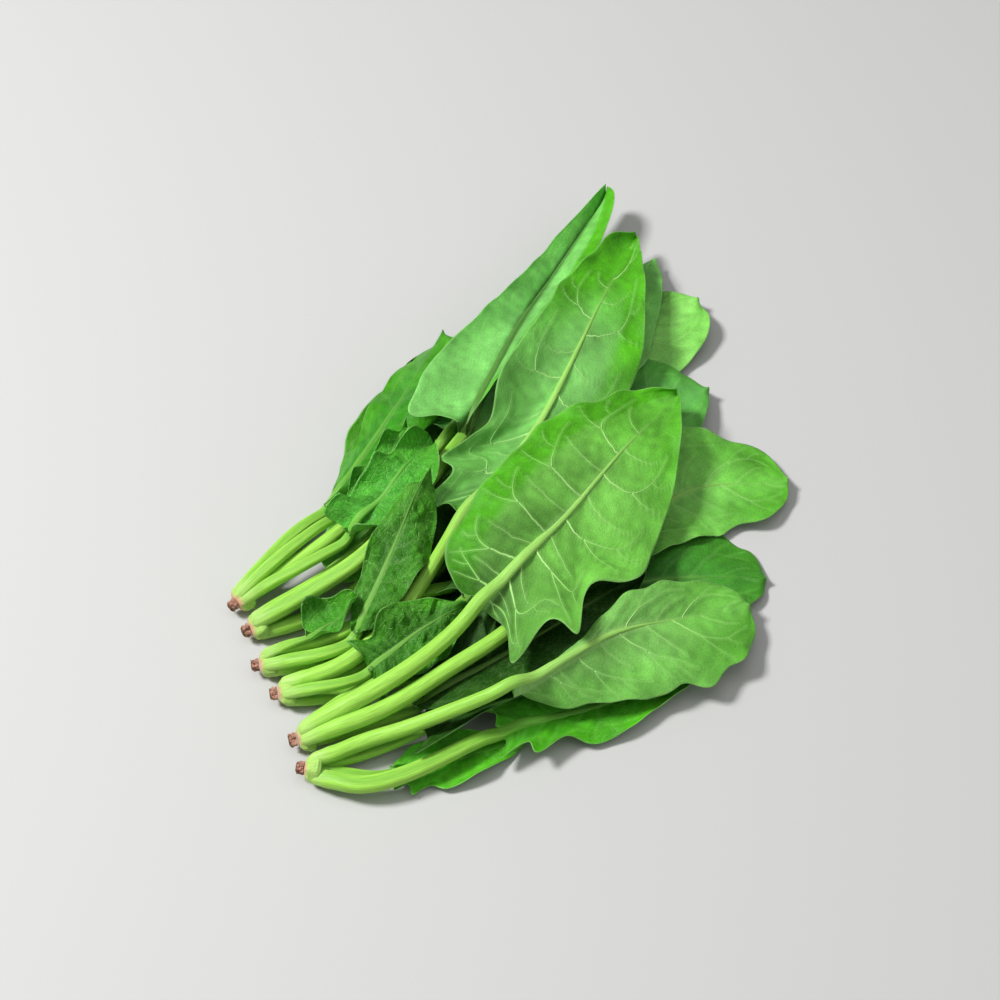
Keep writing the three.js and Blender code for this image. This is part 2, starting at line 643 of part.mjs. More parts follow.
// The faces of a closed tube of so many rings, each with so many points round it.
function tubeFaces(rings, sides) {
  const faces = [];
  for (let i = 0; i < rings - 1; i++)
    for (let s = 0; s < sides; s++) {
      const [a, b] = [i * sides + s, i * sides + ((s + 1) % sides)];
      faces.push([a, b, b + sides], [a, b + sides, a + sides]);
    }
  const last = (rings - 1) * sides;
  for (let s = 1; s < sides - 1; s++) faces.push([0, s + 1, s], [last, last + s, last + s + 1]);
  return faces;
}

// A closed round bar through rings, each with a centre, the way to its left, and a radius.
function barShape(rings, sides) {
  const points = [];
  rings.forEach(({ centre, left, radius }, i) => {
    const before = rings[Math.max(0, i - 1)].centre;
    const after = rings[Math.min(rings.length - 1, i + 1)].centre;
    const side = new THREE.Vector3(left[0], left[1], 0);
    const upward = after.clone().sub(before).cross(side).normalize();
    for (let s = 0; s < sides; s++) {
      const angle = (2 * Math.PI * s) / sides;
      const p = centre.clone().addScaledVector(side, radius * Math.cos(angle));
      p.addScaledVector(upward, radius * Math.sin(angle));
      points.push([p.x, p.y, Math.max(0, p.z)]);
    }
  });
  return { points, faces: tubeFaces(rings.length, sides) };
}

// The stalk, which runs one row into the blade, and the blade.
function leafSolid(leaf, laid) {
  const { track, heights, stalk, ringAt, rib } = laid;
  const ring = (along, z, share) => {
    const p = track.at(along);
    const radius = radiusOf(leaf, track, along);
    const sink = along < track.foot ? 0 : SINK * radius * (leaf.under ? 1 : -1);
    return { centre: new THREE.Vector3(p.x, p.y, z + sink), left: p.left, radius: radius * share };
  };
  const rings = stalk.map((z, i) => ring(ringAt(i), z, 1));
  rings.push(ring(rib(0), heights[MIDDLE], 1), ring(rib(1), heights[COLUMNS.length + MIDDLE], 0.6));
  return solidOf(barShape(rings, STALK_SIDES)).add(solidOf(bladeShape(leaf, laid)));
}

// A round body along a plant's own axis, from a half section.
function turnedSolid(plant, section) {
  const turn = THREE.MathUtils.degToRad(plant.heading);
  const points = section.flatMap(([behind, radius]) =>
    Array.from({ length: ROUND_SIDES }, (_, s) => {
      const angle = (2 * Math.PI * (s + 0.5)) / ROUND_SIDES;
      const across = radius * WIDER * Math.cos(angle);
      const x = plant.at[0] - behind * Math.cos(turn) - across * Math.sin(turn);
      const y = plant.at[1] - behind * Math.sin(turn) + across * Math.cos(turn);
      return [x, y, AXIS_HEIGHT + radius * Math.sin(angle)];
    }),
  );
  return solidOf({ points, faces: tubeFaces(section.length, ROUND_SIDES) });
}

// ---- The bunch ----
function meshOf(name, solid, color, roughness) {
  const { vertProperties, triVerts } = solid.getMesh();
  const geometry = new THREE.BufferGeometry();
  geometry.setAttribute("position", new THREE.Float32BufferAttribute(vertProperties, 3));
  geometry.setIndex([...triVerts]);
  const material = new THREE.MeshStandardMaterial({ color, roughness, metalness: 0 });
  const mesh = new THREE.Mesh(geometry, material);
  mesh.name = name;
  return mesh;
}

const heap = new Heap();
const collars = {};
const roots = {};
for (const [number, plant] of Object.entries(PLANTS)) {
  collars[number] = turnedSolid(plant, COLLAR);
  roots[number] = turnedSolid(plant, ROOT);
  heap.cover(collars[number], number);
  heap.cover(roots[number], number);
}
const leaves = LEAVES.map((given) => {
  const leaf = { ...LEAF_DEFAULTS, ...given };
  const solid = leafSolid(leaf, layLeaf(heap, leaf));
  heap.cover(solid, leaf.plant);
  return { plant: leaf.plant, solid };
});

const bunch = new THREE.Group();
for (const number of Object.keys(PLANTS)) {
  const own = leaves.filter((leaf) => leaf.plant === Number(number)).map((leaf) => leaf.solid);
  const grown = wasm.Manifold.union([collars[number], ...own]).simplify(FINEST);
  bunch.add(meshOf(`plant_${number}_leaves`, grown, 0x5fa83c, 0.5));
  bunch.add(meshOf(`plant_${number}_root`, roots[number], 0xc9a184, 0.75));
}
const box = new THREE.Box3().setFromObject(bunch);
const middle = box.getCenter(new THREE.Vector3());
bunch.position.set(-middle.x, -middle.y, -box.min.z);

export default bunch;
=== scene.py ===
"""A fanned bunch of fresh spinach on a pale table.

Six plants lie side by side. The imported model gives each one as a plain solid. This scene lays finer leaves
in their place: it repeats the plan of each leaf, reads the heights from the solid, and adds the smooth
outline, the ruffled edge, the grooved stalk, the raised veins, the puckered skin and the colours.

Sizes are in millimetres and turn to metres when a mesh is made.
"""

import logging
import math
from dataclasses import dataclass, field
from enum import Enum, IntEnum
from typing import Sequence

import bpy
import numpy as np
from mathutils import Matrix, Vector


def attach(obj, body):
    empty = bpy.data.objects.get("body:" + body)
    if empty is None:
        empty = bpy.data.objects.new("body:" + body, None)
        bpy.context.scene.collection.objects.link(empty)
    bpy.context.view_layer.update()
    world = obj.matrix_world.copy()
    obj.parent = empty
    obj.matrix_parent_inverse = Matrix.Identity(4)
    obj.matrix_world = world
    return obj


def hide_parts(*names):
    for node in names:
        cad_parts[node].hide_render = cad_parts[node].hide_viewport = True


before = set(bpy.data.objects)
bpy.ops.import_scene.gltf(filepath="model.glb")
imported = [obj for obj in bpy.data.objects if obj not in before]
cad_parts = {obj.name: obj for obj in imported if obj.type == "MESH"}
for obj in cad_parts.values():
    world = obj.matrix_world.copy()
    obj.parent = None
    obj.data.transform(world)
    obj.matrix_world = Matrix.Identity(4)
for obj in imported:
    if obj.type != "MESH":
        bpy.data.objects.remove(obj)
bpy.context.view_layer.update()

LOG = logging.getLogger("spinach")
MM = 0.001  # metres in a millimetre
SEED = 7

Point = tuple[float, float]
Surface = tuple[np.ndarray, np.ndarray, np.ndarray]  # corners, faces, and an angle for each corner

# ---- Sizes shared with the solid model, in millimetres ----
FOOT_SHARE = 0.72  # the stalk's radius at the foot of the blade, against that at the collar
SINK = 0.35  # of its radius, how far the midrib's middle lies off the blade
ROOTED = 4.0  # how deep a stalk starts in its collar
GATHERED = 0.78  # there, its radius and its distance from the axis, as shares of the full ones
GROWN = 13.0  # along a stalk, where it has its full radius
LEAD = 5.0  # how far a stalk runs straight out of its collar
STALK_STEP = 13.0  # between the rings of the solid stalk
HALF_THICKNESS = 0.4  # of the solid blade
AXIS_HEIGHT = 6.3  # of the collars and roots
WIDER = 1.08  # how much a collar or root is wider than high
# Half sections: distance behind the collar's face, and radius.
COLLAR = ((5.4, 2.5), (4.8, 3.7), (3.2, 5.0), (0.0, 5.7), (-1.5, 4.8))
ROOT = ((9.0, 1.1), (8.6, 1.7), (7.8, 2.0), (6.6, 2.1), (5.7, 2.2))
ROWS = 11  # of the solid blade's grid

# ---- Sizes of the finer leaves, in millimetres ----
SHEET_THICKNESS = 0.5  # of the blade
RIM_THICKNESS = 0.22  # at its edge
CLEAR = 0.02  # between the table and the lowest corner
STALK_SIDES = 32  # corners round a stalk
STALK_RIDGES = 8  # fine ribs along a stalk
VEIN_SIDES = 6  # corners round a vein
VEIN_STEPS = 16  # points along one
UPPER_VEINS = 0.13  # how pale the side veins are drawn on an upper side
UNDERSIDE_VEINS = 0.18  # and on an underside
ROUNDED = 3.0  # along a stalk, where its rounded foot ends
EASE_PASSES = 40  # of the evening out of a stalk's bends
QUILTED = 1.1  # the pucker from which a blade gets the puckered skin
RIB_END = 0.14  # radius of the midrib where it runs out
MATCH = 0.05  # how near in plan a solid's corner must be to count as the one looked for
BATCH = 200  # points of the veins that are measured to at a time


class Form(Enum):
    """Half outlines of a blade: shares of its length along the midrib and of its half width out from it."""

    OVAL = ((0, 0.04), (0.02, 0.25), (0.08, 0.5), (0.17, 0.74), (0.28, 0.92), (0.4, 1),
            (0.52, 0.98), (0.64, 0.88), (0.76, 0.7), (0.87, 0.46), (0.95, 0.24), (1, 0.02))
    SPOON = ((0, 0.04), (0.05, 0.14), (0.12, 0.34), (0.21, 0.57), (0.32, 0.77), (0.44, 0.91),
             (0.57, 0.99), (0.7, 1), (0.82, 0.91), (0.92, 0.7), (0.98, 0.38), (1, 0.03))
    ARROW = ((0, 0.04), (-0.01, 0.4), (-0.07, 0.86), (0.07, 0.72), (0.16, 0.7), (0.27, 0.84),
             (0.4, 0.9), (0.53, 0.84), (0.66, 0.7), (0.79, 0.5), (0.91, 0.25), (1, 0.02))
    LOBED = ((0, 0.04), (0, 0.36), (-0.07, 0.74), (0.08, 0.64), (0.1, 1), (0.25, 0.78),
             (0.36, 0.98), (0.52, 0.87), (0.66, 0.72), (0.79, 0.5), (0.91, 0.25), (1, 0.02))
    ROUND = ((0, 0.04), (-0.01, 0.3), (0.02, 0.6), (0.07, 0.8), (0.17, 0.86), (0.28, 0.95),
             (0.4, 1), (0.53, 0.96), (0.66, 0.87), (0.79, 0.71), (0.92, 0.45), (1, 0.02))
    BLUNT = ((0, 0.04), (0, 0.36), (-0.07, 0.74), (0.08, 0.64), (0.1, 1), (0.25, 0.78),
             (0.36, 0.98), (0.52, 0.92), (0.66, 0.86), (0.8, 0.74), (0.93, 0.52), (1, 0.02))
    WING = ((0, 0.04), (-0.02, 0.45), (-0.05, 0.85), (0.06, 0.95), (0.17, 1), (0.3, 0.82),
            (0.42, 0.58), (0.54, 0.38), (0.66, 0.32), (0.79, 0.26), (0.91, 0.14), (1, 0.02))
    LATE = ((0, 0.04), (0.08, 0.06), (0.17, 0.1), (0.27, 0.2), (0.37, 0.38), (0.47, 0.6),
            (0.57, 0.8), (0.68, 0.95), (0.79, 1), (0.9, 0.82), (0.97, 0.45), (1, 0.03))


@dataclass(frozen=True)
class Look:
    """How one leaf's blade is coloured and puckered.

    Args:
        underside: colour of the underside.
        upper: colour of the upper side.
        painted_glow: how far the colour turns to a saturated green towards the left edge, the right edge and
            the tip: painted light shining through.
        pucker: how deep the skin bulges between the veins, in millimetres.
        fine: whether the blade gets the finer mesh.
        veins: how clearly its side veins show.
        painted_foot_shade: how much darker the blade is painted near its foot, where it lies deep in the
            heap: painted shade.
        painted_fold_shade: how dark the midrib's line is painted where the blade is folded: painted shade.
        lift: how much higher it lies than its solid, in millimetres, to clear the leaf beneath.
    """

    underside: str
    upper: str
    painted_glow: tuple[float, float, float]
    pucker: float
    fine: bool
    veins: float
    painted_foot_shade: float = 0.0
    painted_fold_shade: float = 0.0
    lift: float = 0.0


@dataclass(frozen=True)
class Leaf:
    """One leaf of the bunch, by its plan.

    Args:
        plant: number of the plant it grew on.
        under: whether its underside looks up.
        radius: of the stalk where it leaves the collar.
        slot: where the stalk rises, to the left of the collar's middle and over the table.
        stalk: the plan points that the stalk passes.
        base: the foot of the blade.
        middle: a point halfway along the midrib.
        tip: the end of the blade.
        width: half widths, left and right of the midrib.
        form: their outlines.
        look: colours and puckering.
    """

    plant: int
    under: bool
    radius: float
    slot: Point
    stalk: tuple[Point, ...]
    base: Point
    middle: Point
    tip: Point
    width: tuple[float, float]
    form: tuple[Form, Form]
    look: Look


# Where each collar's face is and the way it points, in degrees from +X.
PLANTS: dict[int, tuple[Point, float]] = {
    1: ((-104, 40.6), 0),
    2: ((-107.4, 25.1), -15),
    3: ((-114.9, 7.5), -30),
    4: ((-117.1, -8.2), -30),
    5: ((-123.6, -29.5), -25),
    6: ((-130.2, -43.4), -45),
}

LEAVES: tuple[Leaf, ...] = (
    # Far side, flat on the table: carries the small curled leaves.
    Leaf(1, False, 3.3, (3.4, 3.6), ((-86, 48),),
         (-41, 56), (-6, 72), (35, 91), (14, 24), (Form.OVAL, Form.OVAL),
         Look("#6fb84a", "#4f9c28", (0.2, 0.2, 0.2), 0.7, False, 0.6)),
    # Near side, flat on the table, under the stalks; its upper side is painted near-black green, painted
    # shade of the heap.
    Leaf(4, False, 3.3, (-3, 3.6), ((-101, -22), (-82, -29)),
         (-64, -38), (-26, -50), (17, -61), (26, 28), (Form.ARROW, Form.OVAL),
         Look("#6fb84a", "#173c0c", (0.2, 0.2, 0.2), 0.7, False, 0.6)),
    # Small ruffled leaf at the near edge.
    Leaf(6, False, 3, (1, 3.5), ((-116, -58),),
         (-107, -61), (-83, -73), (-58, -85), (10, 14), (Form.OVAL, Form.LOBED),
         Look("#74c04e", "#56bc20", (0.3, 0.3, 0.3), 1.0, False, 0.6)),
    # Nearest leaf: its thick pale stalk bows out of the bunch.
    Leaf(6, False, 4, (-3.2, 4.2), ((-126, -60), (-113, -67), (-93, -72.5)),
         (-64.5, -77), (-19, -95), (28, -108), (20, 16), (Form.LOBED, Form.LOBED),
         Look("#74c04e", "#4cb81c", (0.5, 0.5, 0.3), 1.0, True, 0.7)),
    # Low in the fan, under the big leaves.
    Leaf(2, True, 3.4, (3, 3.6), ((-90, 26),),
         (-72, 27), (8, 46), (90, 64), (26, 28), (Form.OVAL, Form.OVAL),
         Look("#6fb54e", "#4a9427", (0.2, 0.2, 0.2), 0.5, False, 0.6)),
    # Low in the fan: its round tip shows beyond the others.
    Leaf(2, True, 3.4, (-3, 3.6), ((-88, 14), (-45, 13)),
         (28, 33), (99, 40), (150, 37), (22, 28), (Form.SPOON, Form.SPOON),
         Look("#a4ee7c", "#4f9c2c", (0.2, 0.2, 0.3), 0.6, True, 0.4)),
    # Low in the fan, between the big leaves; its upper side is painted near-black green, painted shade of the
    # heap.
    Leaf(3, False, 3.4, (3.2, 3.6), ((-98, 1),),
         (-74, 0), (4, -5), (82, -17), (28, 32), (Form.OVAL, Form.OVAL),
         Look("#5ea344", "#1d4610", (0.2, 0.2, 0.2), 0.7, False, 0.6)),
    # Low in the fan: its dark tip shows at the right.
    Leaf(4, False, 3.4, (3, 3.6), ((-99, -15), (-60, -21)),
         (-16, -44), (34, -64), (69, -92), (25, 19), (Form.SPOON, Form.SPOON),
         Look("#69b04a", "#3f8a2d", (0.2, 0.2, 0.2), 0.8, True, 0.6)),
    # Narrow, between the two lowest near leaves; its upper side is painted near-black green, painted shade of
    # the heap.
    Leaf(6, False, 2.8, (3.4, 3.6), ((-113, -49),),
         (-88, -57), (-28, -65), (31, -79), (16, 16), (Form.OVAL, Form.ARROW),
         Look("#5ea344", "#173c0c", (0.1, 0.1, 0.1), 0.7, False, 0.6)),
    # Low, fills the gap beside the broad near leaf; its upper side is painted near-black green, painted shade
    # of the gap.
    Leaf(5, False, 3.5, (-1, 3.6), ((-106, -38),),
         (-84, -46), (-28, -57), (28, -61), (20, 22), (Form.OVAL, Form.OVAL),
         Look("#5ea344", "#173c0c", (0.1, 0.1, 0.1), 0.7, False, 0.6)),
    # Far side: leans out past the folded leaf.
    Leaf(1, True, 3.4, (-1, 3.6), ((-85, 37), (-55, 36)),
         (9, 46), (46, 69), (98, 95), (17, 16), (Form.ARROW, Form.LOBED),
         Look("#7cc872", "#4f9c2c", (0.1, 0.2, 0.3), 0.7, True, 0.35)),
    # Right side, pale, its ruffled edge shows.
    Leaf(3, True, 3.3, (-3.2, 3.6), ((-99, -7), (-60, -5)),
         (18, 1), (75, 1), (118, -4), (34, 30), (Form.SPOON, Form.OVAL),
         Look("#66b35a", "#4a9427", (0.3, 0.2, 0.2), 0.9, True, 0.5)),
    # Narrow dark strip beside the long far leaf; its upper side is painted lighter than its own green,
    # painted light where the heap shades it.
    Leaf(2, False, 3.3, (3, 9.8), ((-86, 25), (-50, 24)),
         (12, 35), (80, 44), (151, 67), (24, 28), (Form.OVAL, Form.OVAL),
         Look("#63ad48", "#86d46c", (0.1, 0.1, 0.1), 0.6, True, 0.4)),
    # Broad near leaf with a long curved stalk.
    Leaf(6, True, 3.6, (3, 9.4), ((-113, -45.5), (-100.7, -53), (-80, -64)),
         (-56, -74), (0, -79), (52, -99), (16, 31), (Form.LATE, Form.SPOON),
         Look("#7ec25c", "#4a9427", (0.1, 0.3, 0.4), 0.85, True, 0.75, painted_foot_shade=0.1)),
    # Far side: folded back along its midrib.
    Leaf(1, False, 3.4, (3, 9.6), ((-90, 46), (-74, 51)),
         (-54, 52), (-2, 70), (45, 94), (14, 20), (Form.SPOON, Form.SPOON),
         Look("#74c04e", "#2f8a08", (0.5, 0.3, 0.5), 0.7, True, 0.5)),
    # Small curled leaf on the far stalks.
    Leaf(1, False, 2.9, (0, 10.2), ((-86, 41),),
         (-50, 43), (-28, 47), (-6, 55), (7, 15), (Form.OVAL, Form.ARROW),
         Look("#74c04e", "#46a030", (0.3, 0.3, 0.3), 1.3, False, 0.6)),
    # The longest leaf, folded into a narrow V at the far edge.
    Leaf(2, False, 3.9, (-0.5, 10.3), ((-84, 19.5), (-57, 15)),
         (10, 37), (92, 82), (157, 109), (25, 14), (Form.WING, Form.SPOON),
         Look("#74c04e", "#8ada72", (0.1, 0.9, 0.3), 0.5, True, 0.5, painted_fold_shade=0.7)),
    # Small curled leaf beside it.
    Leaf(1, False, 2.9, (-3.4, 9.4), ((-84, 32),),
         (-59, 28), (-33, 32), (-2, 45), (14, 17), (Form.ARROW, Form.OVAL),
         Look("#74c04e", "#4dac34", (0.2, 0.3, 0.3), 1.4, False, 0.6)),
    # Fills the dark gap in the middle of the heap; its upper side is painted near-black green, painted shade
    # of the heap.
    Leaf(3, False, 3.4, (3, 9.8), ((-97, -2), (-68, -7)),
         (-36, -14), (-1, -8), (33, 0), (16, 20), (Form.ARROW, Form.ARROW),
         Look("#5ea344", "#1d4610", (0.1, 0.1, 0.1), 0.8, False, 0.6)),
    # Narrow, under the left edge of the top leaf; its upper side is painted near-black green, painted shade
    # of the heap.
    Leaf(5, False, 3.2, (4.4, 8), ((-107, -25), (-93, -29.5)),
         (-41, -27), (4, -18), (55, -8), (12, 22), (Form.ARROW, Form.ARROW),
         Look("#5ea344", "#1d4610", (0.1, 0.1, 0.1), 0.7, False, 0.6)),
    # Second from the top: long, with small lobes at its foot.
    Leaf(4, True, 3.8, (2.8, 9.8), ((-107, -13), (-83, -17), (-59, -14)),
         (-20, 1), (43, 21), (150, 80), (23, 33), (Form.BLUNT, Form.ARROW),
         Look("#7cc762", "#4a9427", (0.25, 0.75, 1.0), 0.85, True, 0.9)),
    # Narrow quilted leaf that stands among the stalks.
    Leaf(3, False, 3.3, (-3.2, 9.4), ((-105, -5.5), (-94, -9.5)),
         (-86, -10), (-54, 5), (-20, 21), (10, 15), (Form.OVAL, Form.OVAL),
         Look("#74c04e", "#347818", (0.3, 0.2, 0.3), 1.3, True, 0.7)),
    # Tiny leaf close to the collars.
    Leaf(3, False, 1.7, (0.5, 11), (),
         (-101, 0.5), (-89, 0.5), (-75, 1), (14, 5), (Form.OVAL, Form.OVAL),
         Look("#74c04e", "#36861a", (0.3, 0.3, 0.3), 1.4, False, 0.6)),
    # Short quilted leaf curled over the stalks.
    Leaf(4, False, 2.9, (-3.2, 9.4), ((-105.3, -22),),
         (-90, -25), (-68, -27), (-43, -32), (13, 17), (Form.ARROW, Form.ARROW),
         Look("#74c04e", "#38801a", (0.4, 0.2, 0.3), 1.5, True, 0.7, painted_foot_shade=0.15)),
    # Right side: light green, with a round tip.
    Leaf(5, True, 3.8, (-3.8, 9.8), ((-110, -41), (-96, -45), (-66, -48), (-40, -51)),
         (8, -45), (73, -40), (110, -63), (27, 22), (Form.SPOON, Form.SPOON),
         Look("#84d25e", "#4a9427", (0.3, 0.3, 0.5), 0.7, True, 0.6)),
    # The top leaf, the broadest, with two lobes on its right.
    Leaf(5, True, 4.1, (0.5, 12), ((-105, -35.5), (-81, -40)),
         (-43, -38), (19, -25), (96, -6), (34, 40), (Form.ROUND, Form.LOBED),
         Look("#7cc852", "#3f8a1f", (1.0, 0.2, 0.6), 1.0, True, 1.0, painted_foot_shade=0.58, lift=0.4)),)


# ---- Small tools ----
def linear(code: str) -> np.ndarray:
    """Turns an sRGB hex colour into linear red, green and blue."""
    parts = [int(code[i : i + 2], 16) / 255 for i in (1, 3, 5)]
    return np.array([c / 12.92 if c <= 0.04045 else ((c + 0.055) / 1.055) ** 2.4 for c in parts])


def ease(low: float, high: float, value: np.ndarray) -> np.ndarray:
    """Goes smoothly from 0 at low to 1 at high."""
    t = np.clip((value - low) / (high - low), 0, 1)
    return t * t * (3 - 2 * t)


def bell(value: np.ndarray) -> np.ndarray:
    """Gives a bell curve, 1 at 0 and next to nothing from 2 on: the exponential of less the square."""
    return np.exp(-(value**2))


def blend(a: np.ndarray, b: np.ndarray, share: np.ndarray) -> np.ndarray:
    """Mixes colours or points, with one share for each of them."""
    return a + (b - a) * share[..., None]


def hermite(knots: np.ndarray, values: np.ndarray, at: np.ndarray) -> np.ndarray:
    """Draws a smooth curve through values given at rising knots: between two of them the cubic that has
    their values, and at each the mean slope of its neighbours.

    Args:
        knots: where the values are.
        values: one row for each knot.
        at: where the curve is wanted.

    Returns:
        One row for each place asked.
    """
    slopes = np.gradient(values, knots, axis=0)
    i = np.clip(np.searchsorted(knots, at, side="right") - 1, 0, len(knots) - 2)
    step = knots[i + 1] - knots[i]
    t = (at - knots[i]) / step
    shape = (-1,) + (1,) * (values.ndim - 1)
    t, step = t.reshape(shape), step.reshape(shape)
    return (
        (2 * t**3 - 3 * t**2 + 1) * values[i]
        + (t**3 - 2 * t**2 + t) * step * slopes[i]
        + (3 * t**2 - 2 * t**3) * values[i + 1]
        + (t**3 - t**2) * step * slopes[i + 1]
    )


def ring_angles(sides: int) -> np.ndarray:
    """Gives the angles of a ring's corners, the first of them half a step round."""
    return (np.arange(sides) + 0.5) * 2 * math.pi / sides


def grid_faces(rows: int, columns: int, closed: bool = False) -> np.ndarray:
    """Numbers the quads of a grid of corners, counter-clockwise from above.

    Args:
        rows: of corners.
        columns: of corners.
        closed: whether the last column joins the first.

    Returns:
        Four corner numbers for each quad.
    """
    k = np.arange(rows - 1)[:, None] * columns
    j = np.arange(columns if closed else columns - 1)[None, :]
    after = (j + 1) % columns
    return np.stack([k + j, k + columns + j, k + columns + after, k + after], -1).reshape(-1, 4)


class Ripple:
    """A smooth, seeded, random height field in the plane, of about unit size: a sum of sine waves."""

    WAVES = 9
    SPREAD = (0.7, 1.6)  # length of a wave against the one asked

    def __init__(self, rng: np.random.Generator, length: float) -> None:
        """Draws the waves.

        Args:
            rng: the source of random numbers.
            length: about how long a wave is, in the units of the places asked.
        """
        turn = rng.uniform(0, 2 * math.pi, self.WAVES)
        pace = 2 * math.pi / (length * rng.uniform(*self.SPREAD, self.WAVES))
        self.pace = np.stack([np.cos(turn), np.sin(turn)], 1) * pace[:, None]
        self.phase = rng.uniform(0, 2 * math.pi, self.WAVES)

    def at(self, x: np.ndarray, y: np.ndarray) -> np.ndarray:
        """Gives the height at places in the plane."""
        place = np.stack([x, y], -1)
        return np.sin(place @ self.pace.T + self.phase).sum(-1) / math.sqrt(self.WAVES / 2)


class Track:
    """The plan curve of a leaf's stalk and midrib, a centripetal Catmull-Rom curve, in millimetres."""

    STEPS = 60  # between two of its points

    def __init__(self, points: Sequence[Point]) -> None:
        """Samples the curve.

        Args:
            points: the plan points that it passes. The last three are the blade's foot, middle and tip.
        """
        p = np.array(points, float)
        p = np.vstack([2 * p[0] - p[1], p, 2 * p[-1] - p[-2]])
        gaps = np.linalg.norm(np.diff(p, axis=0), axis=1) ** 0.5
        samples = []
        for i in range(1, len(p) - 2):
            a, b, c, d = p[i - 1 : i + 3]
            g0, g1, g2 = gaps[i - 1 : i + 2]
            out = ((b - a) / g0 - (c - a) / (g0 + g1) + (c - b) / g1) * g1
            into = ((c - b) / g1 - (d - b) / (g1 + g2) + (d - c) / g2) * g1
            last = i == len(p) - 3
            t = (np.arange(self.STEPS + last) / self.STEPS)[:, None]
            samples.append(
                b + out * t + (3 * (c - b) - 2 * out - into) * t**2 + (2 * (b - c) + out + into) * t**3
            )
        self.points = np.vstack(samples)
        steps = np.linalg.norm(np.diff(self.points, axis=0), axis=1)
        self.marks = np.concatenate([[0], np.cumsum(steps)])
        self.foot = self.marks[self.STEPS * (len(points) - 3)]
        self.length = self.marks[-1]
        self.blade = self.length - self.foot

    def mark(self, share: np.ndarray) -> np.ndarray:
        """Gives how far along the curve a share of the blade's length is."""
        return self.foot + self.blade * share

    def at(self, along: np.ndarray) -> tuple[np.ndarray, np.ndarray]:
        """Finds places on the curve.

        Args:
            along: distances along it.

        Returns:
            Plan points, and the unit vectors to the left of the curve there.
        """
        i = np.clip(np.searchsorted(self.marks, along, side="right"), 1, len(self.marks) - 1)
        p, q = self.points[i - 1], self.points[i]
        step = q - p
        length = np.linalg.norm(step, axis=-1)
        share = (along - self.marks[i - 1]) / length
        left = np.stack([-step[..., 1], step[..., 0]], -1) / length[..., None]
        return blend(p, q, share), left


class Solids:
    """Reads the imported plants: the shift of the whole bunch, and heights at known plan points."""

    def __init__(self) -> None:
        """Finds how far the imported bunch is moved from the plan's own origin, by the six roots' middles."""
        self.corners: dict[str, np.ndarray] = {}
        shifts = []
        behind = np.mean([section[0] for section in ROOT])
        for number, (at, heading) in PLANTS.items():
            turn = math.radians(heading)
            middle = np.array(at) - behind * np.array([math.cos(turn), math.sin(turn)])
            corners = np.unique(np.round(self.read(f"plant_{number}_root"), 3), axis=0)
            shifts.append(corners[:, :2].mean(0) - middle)
        self.shift = np.mean(shifts, axis=0)

    def read(self, node: str) -> np.ndarray:
        """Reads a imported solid, once.

        Args:
            node: its name.

        Returns:
            Its corners, in millimetres.
        """
        if node not in self.corners:
            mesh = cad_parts[node].data
            flat = np.empty(3 * len(mesh.vertices), np.float32)
            mesh.vertices.foreach_get("co", flat)
            self.corners[node] = flat.reshape(-1, 3).astype(float) / MM
        return self.corners[node]

    def heights(self, node: str, place: np.ndarray) -> np.ndarray:
        """Looks up a solid's corners over one plan point.

        Args:
            node: name of the solid.
            place: the point, in the plan's own frame.

        Returns:
            The heights of the corners there, or none.
        """
        corners = self.read(node)
        off = np.abs(corners[:, :2] - (place + self.shift)).max(1)
        return corners[off < MATCH, 2]


@dataclass
class Shell:
    """Corners, faces and what is drawn on them, gathered for one mesh."""

    corners: list[np.ndarray] = field(default_factory=list)
    faces: list[np.ndarray] = field(default_factory=list)
    slots: list[np.ndarray] = field(default_factory=list)
    tones: list[np.ndarray] = field(default_factory=list)
    maps: list[np.ndarray] = field(default_factory=list)
    count: int = 0

    def add(
        self, corners: np.ndarray, faces: np.ndarray, slot: int, tones: np.ndarray, maps: np.ndarray
    ) -> None:
        """Adds one piece of surface, kept just clear of the table.

        Args:
            corners: places, in millimetres.
            faces: four corner numbers each.
            slot: number of the material.
            tones: linear colour of each corner.
            maps: place of each corner on the skin, in millimetres.
        """
        corners[:, 2] = np.maximum(corners[:, 2], CLEAR)
        self.corners.append(corners)
        self.faces.append(faces + self.count)
        self.slots.append(np.full(len(faces), int(slot)))
        self.tones.append(tones)
        self.maps.append(maps)
        self.count += len(corners)

    def build(self, name: str, materials: Sequence[bpy.types.Material]) -> bpy.types.Object:
        """Makes the Blender object.

        Args:
            name: of the object.
            materials: in the order of the slots.

        Returns:
            The object, linked to the scene.
        """
        mesh = bpy.data.meshes.new(name)
        corners = np.vstack(self.corners) * MM
        faces = np.vstack(self.faces)
        mesh.from_pydata(corners.tolist(), [], faces.tolist())
        for material in materials:
            mesh.materials.append(material)
        mesh.polygons.foreach_set("material_index", np.concatenate(self.slots).astype(np.int32))
        mesh.polygons.foreach_set("use_smooth", np.ones(len(faces), bool))
        tones = np.hstack([np.vstack(self.tones), np.ones((self.count, 1))])
        tone = mesh.color_attributes.new("tone", "FLOAT_COLOR", "POINT")
        tone.data.foreach_set("color", tones.astype(np.float32).ravel())
        loops = np.empty(len(mesh.loops), np.int32)
        mesh.loops.foreach_get("vertex_index", loops)
        skin = mesh.uv_layers.new(name="skin")
        skin.data.foreach_set("uv", np.vstack(self.maps)[loops].astype(np.float32).ravel())
        mesh.update()
        piece = bpy.data.objects.new(name, mesh)
        bpy.context.scene.collection.objects.link(piece)
        LOG.info("%s: %d corners, %d faces", name, self.count, len(faces))
        return piece


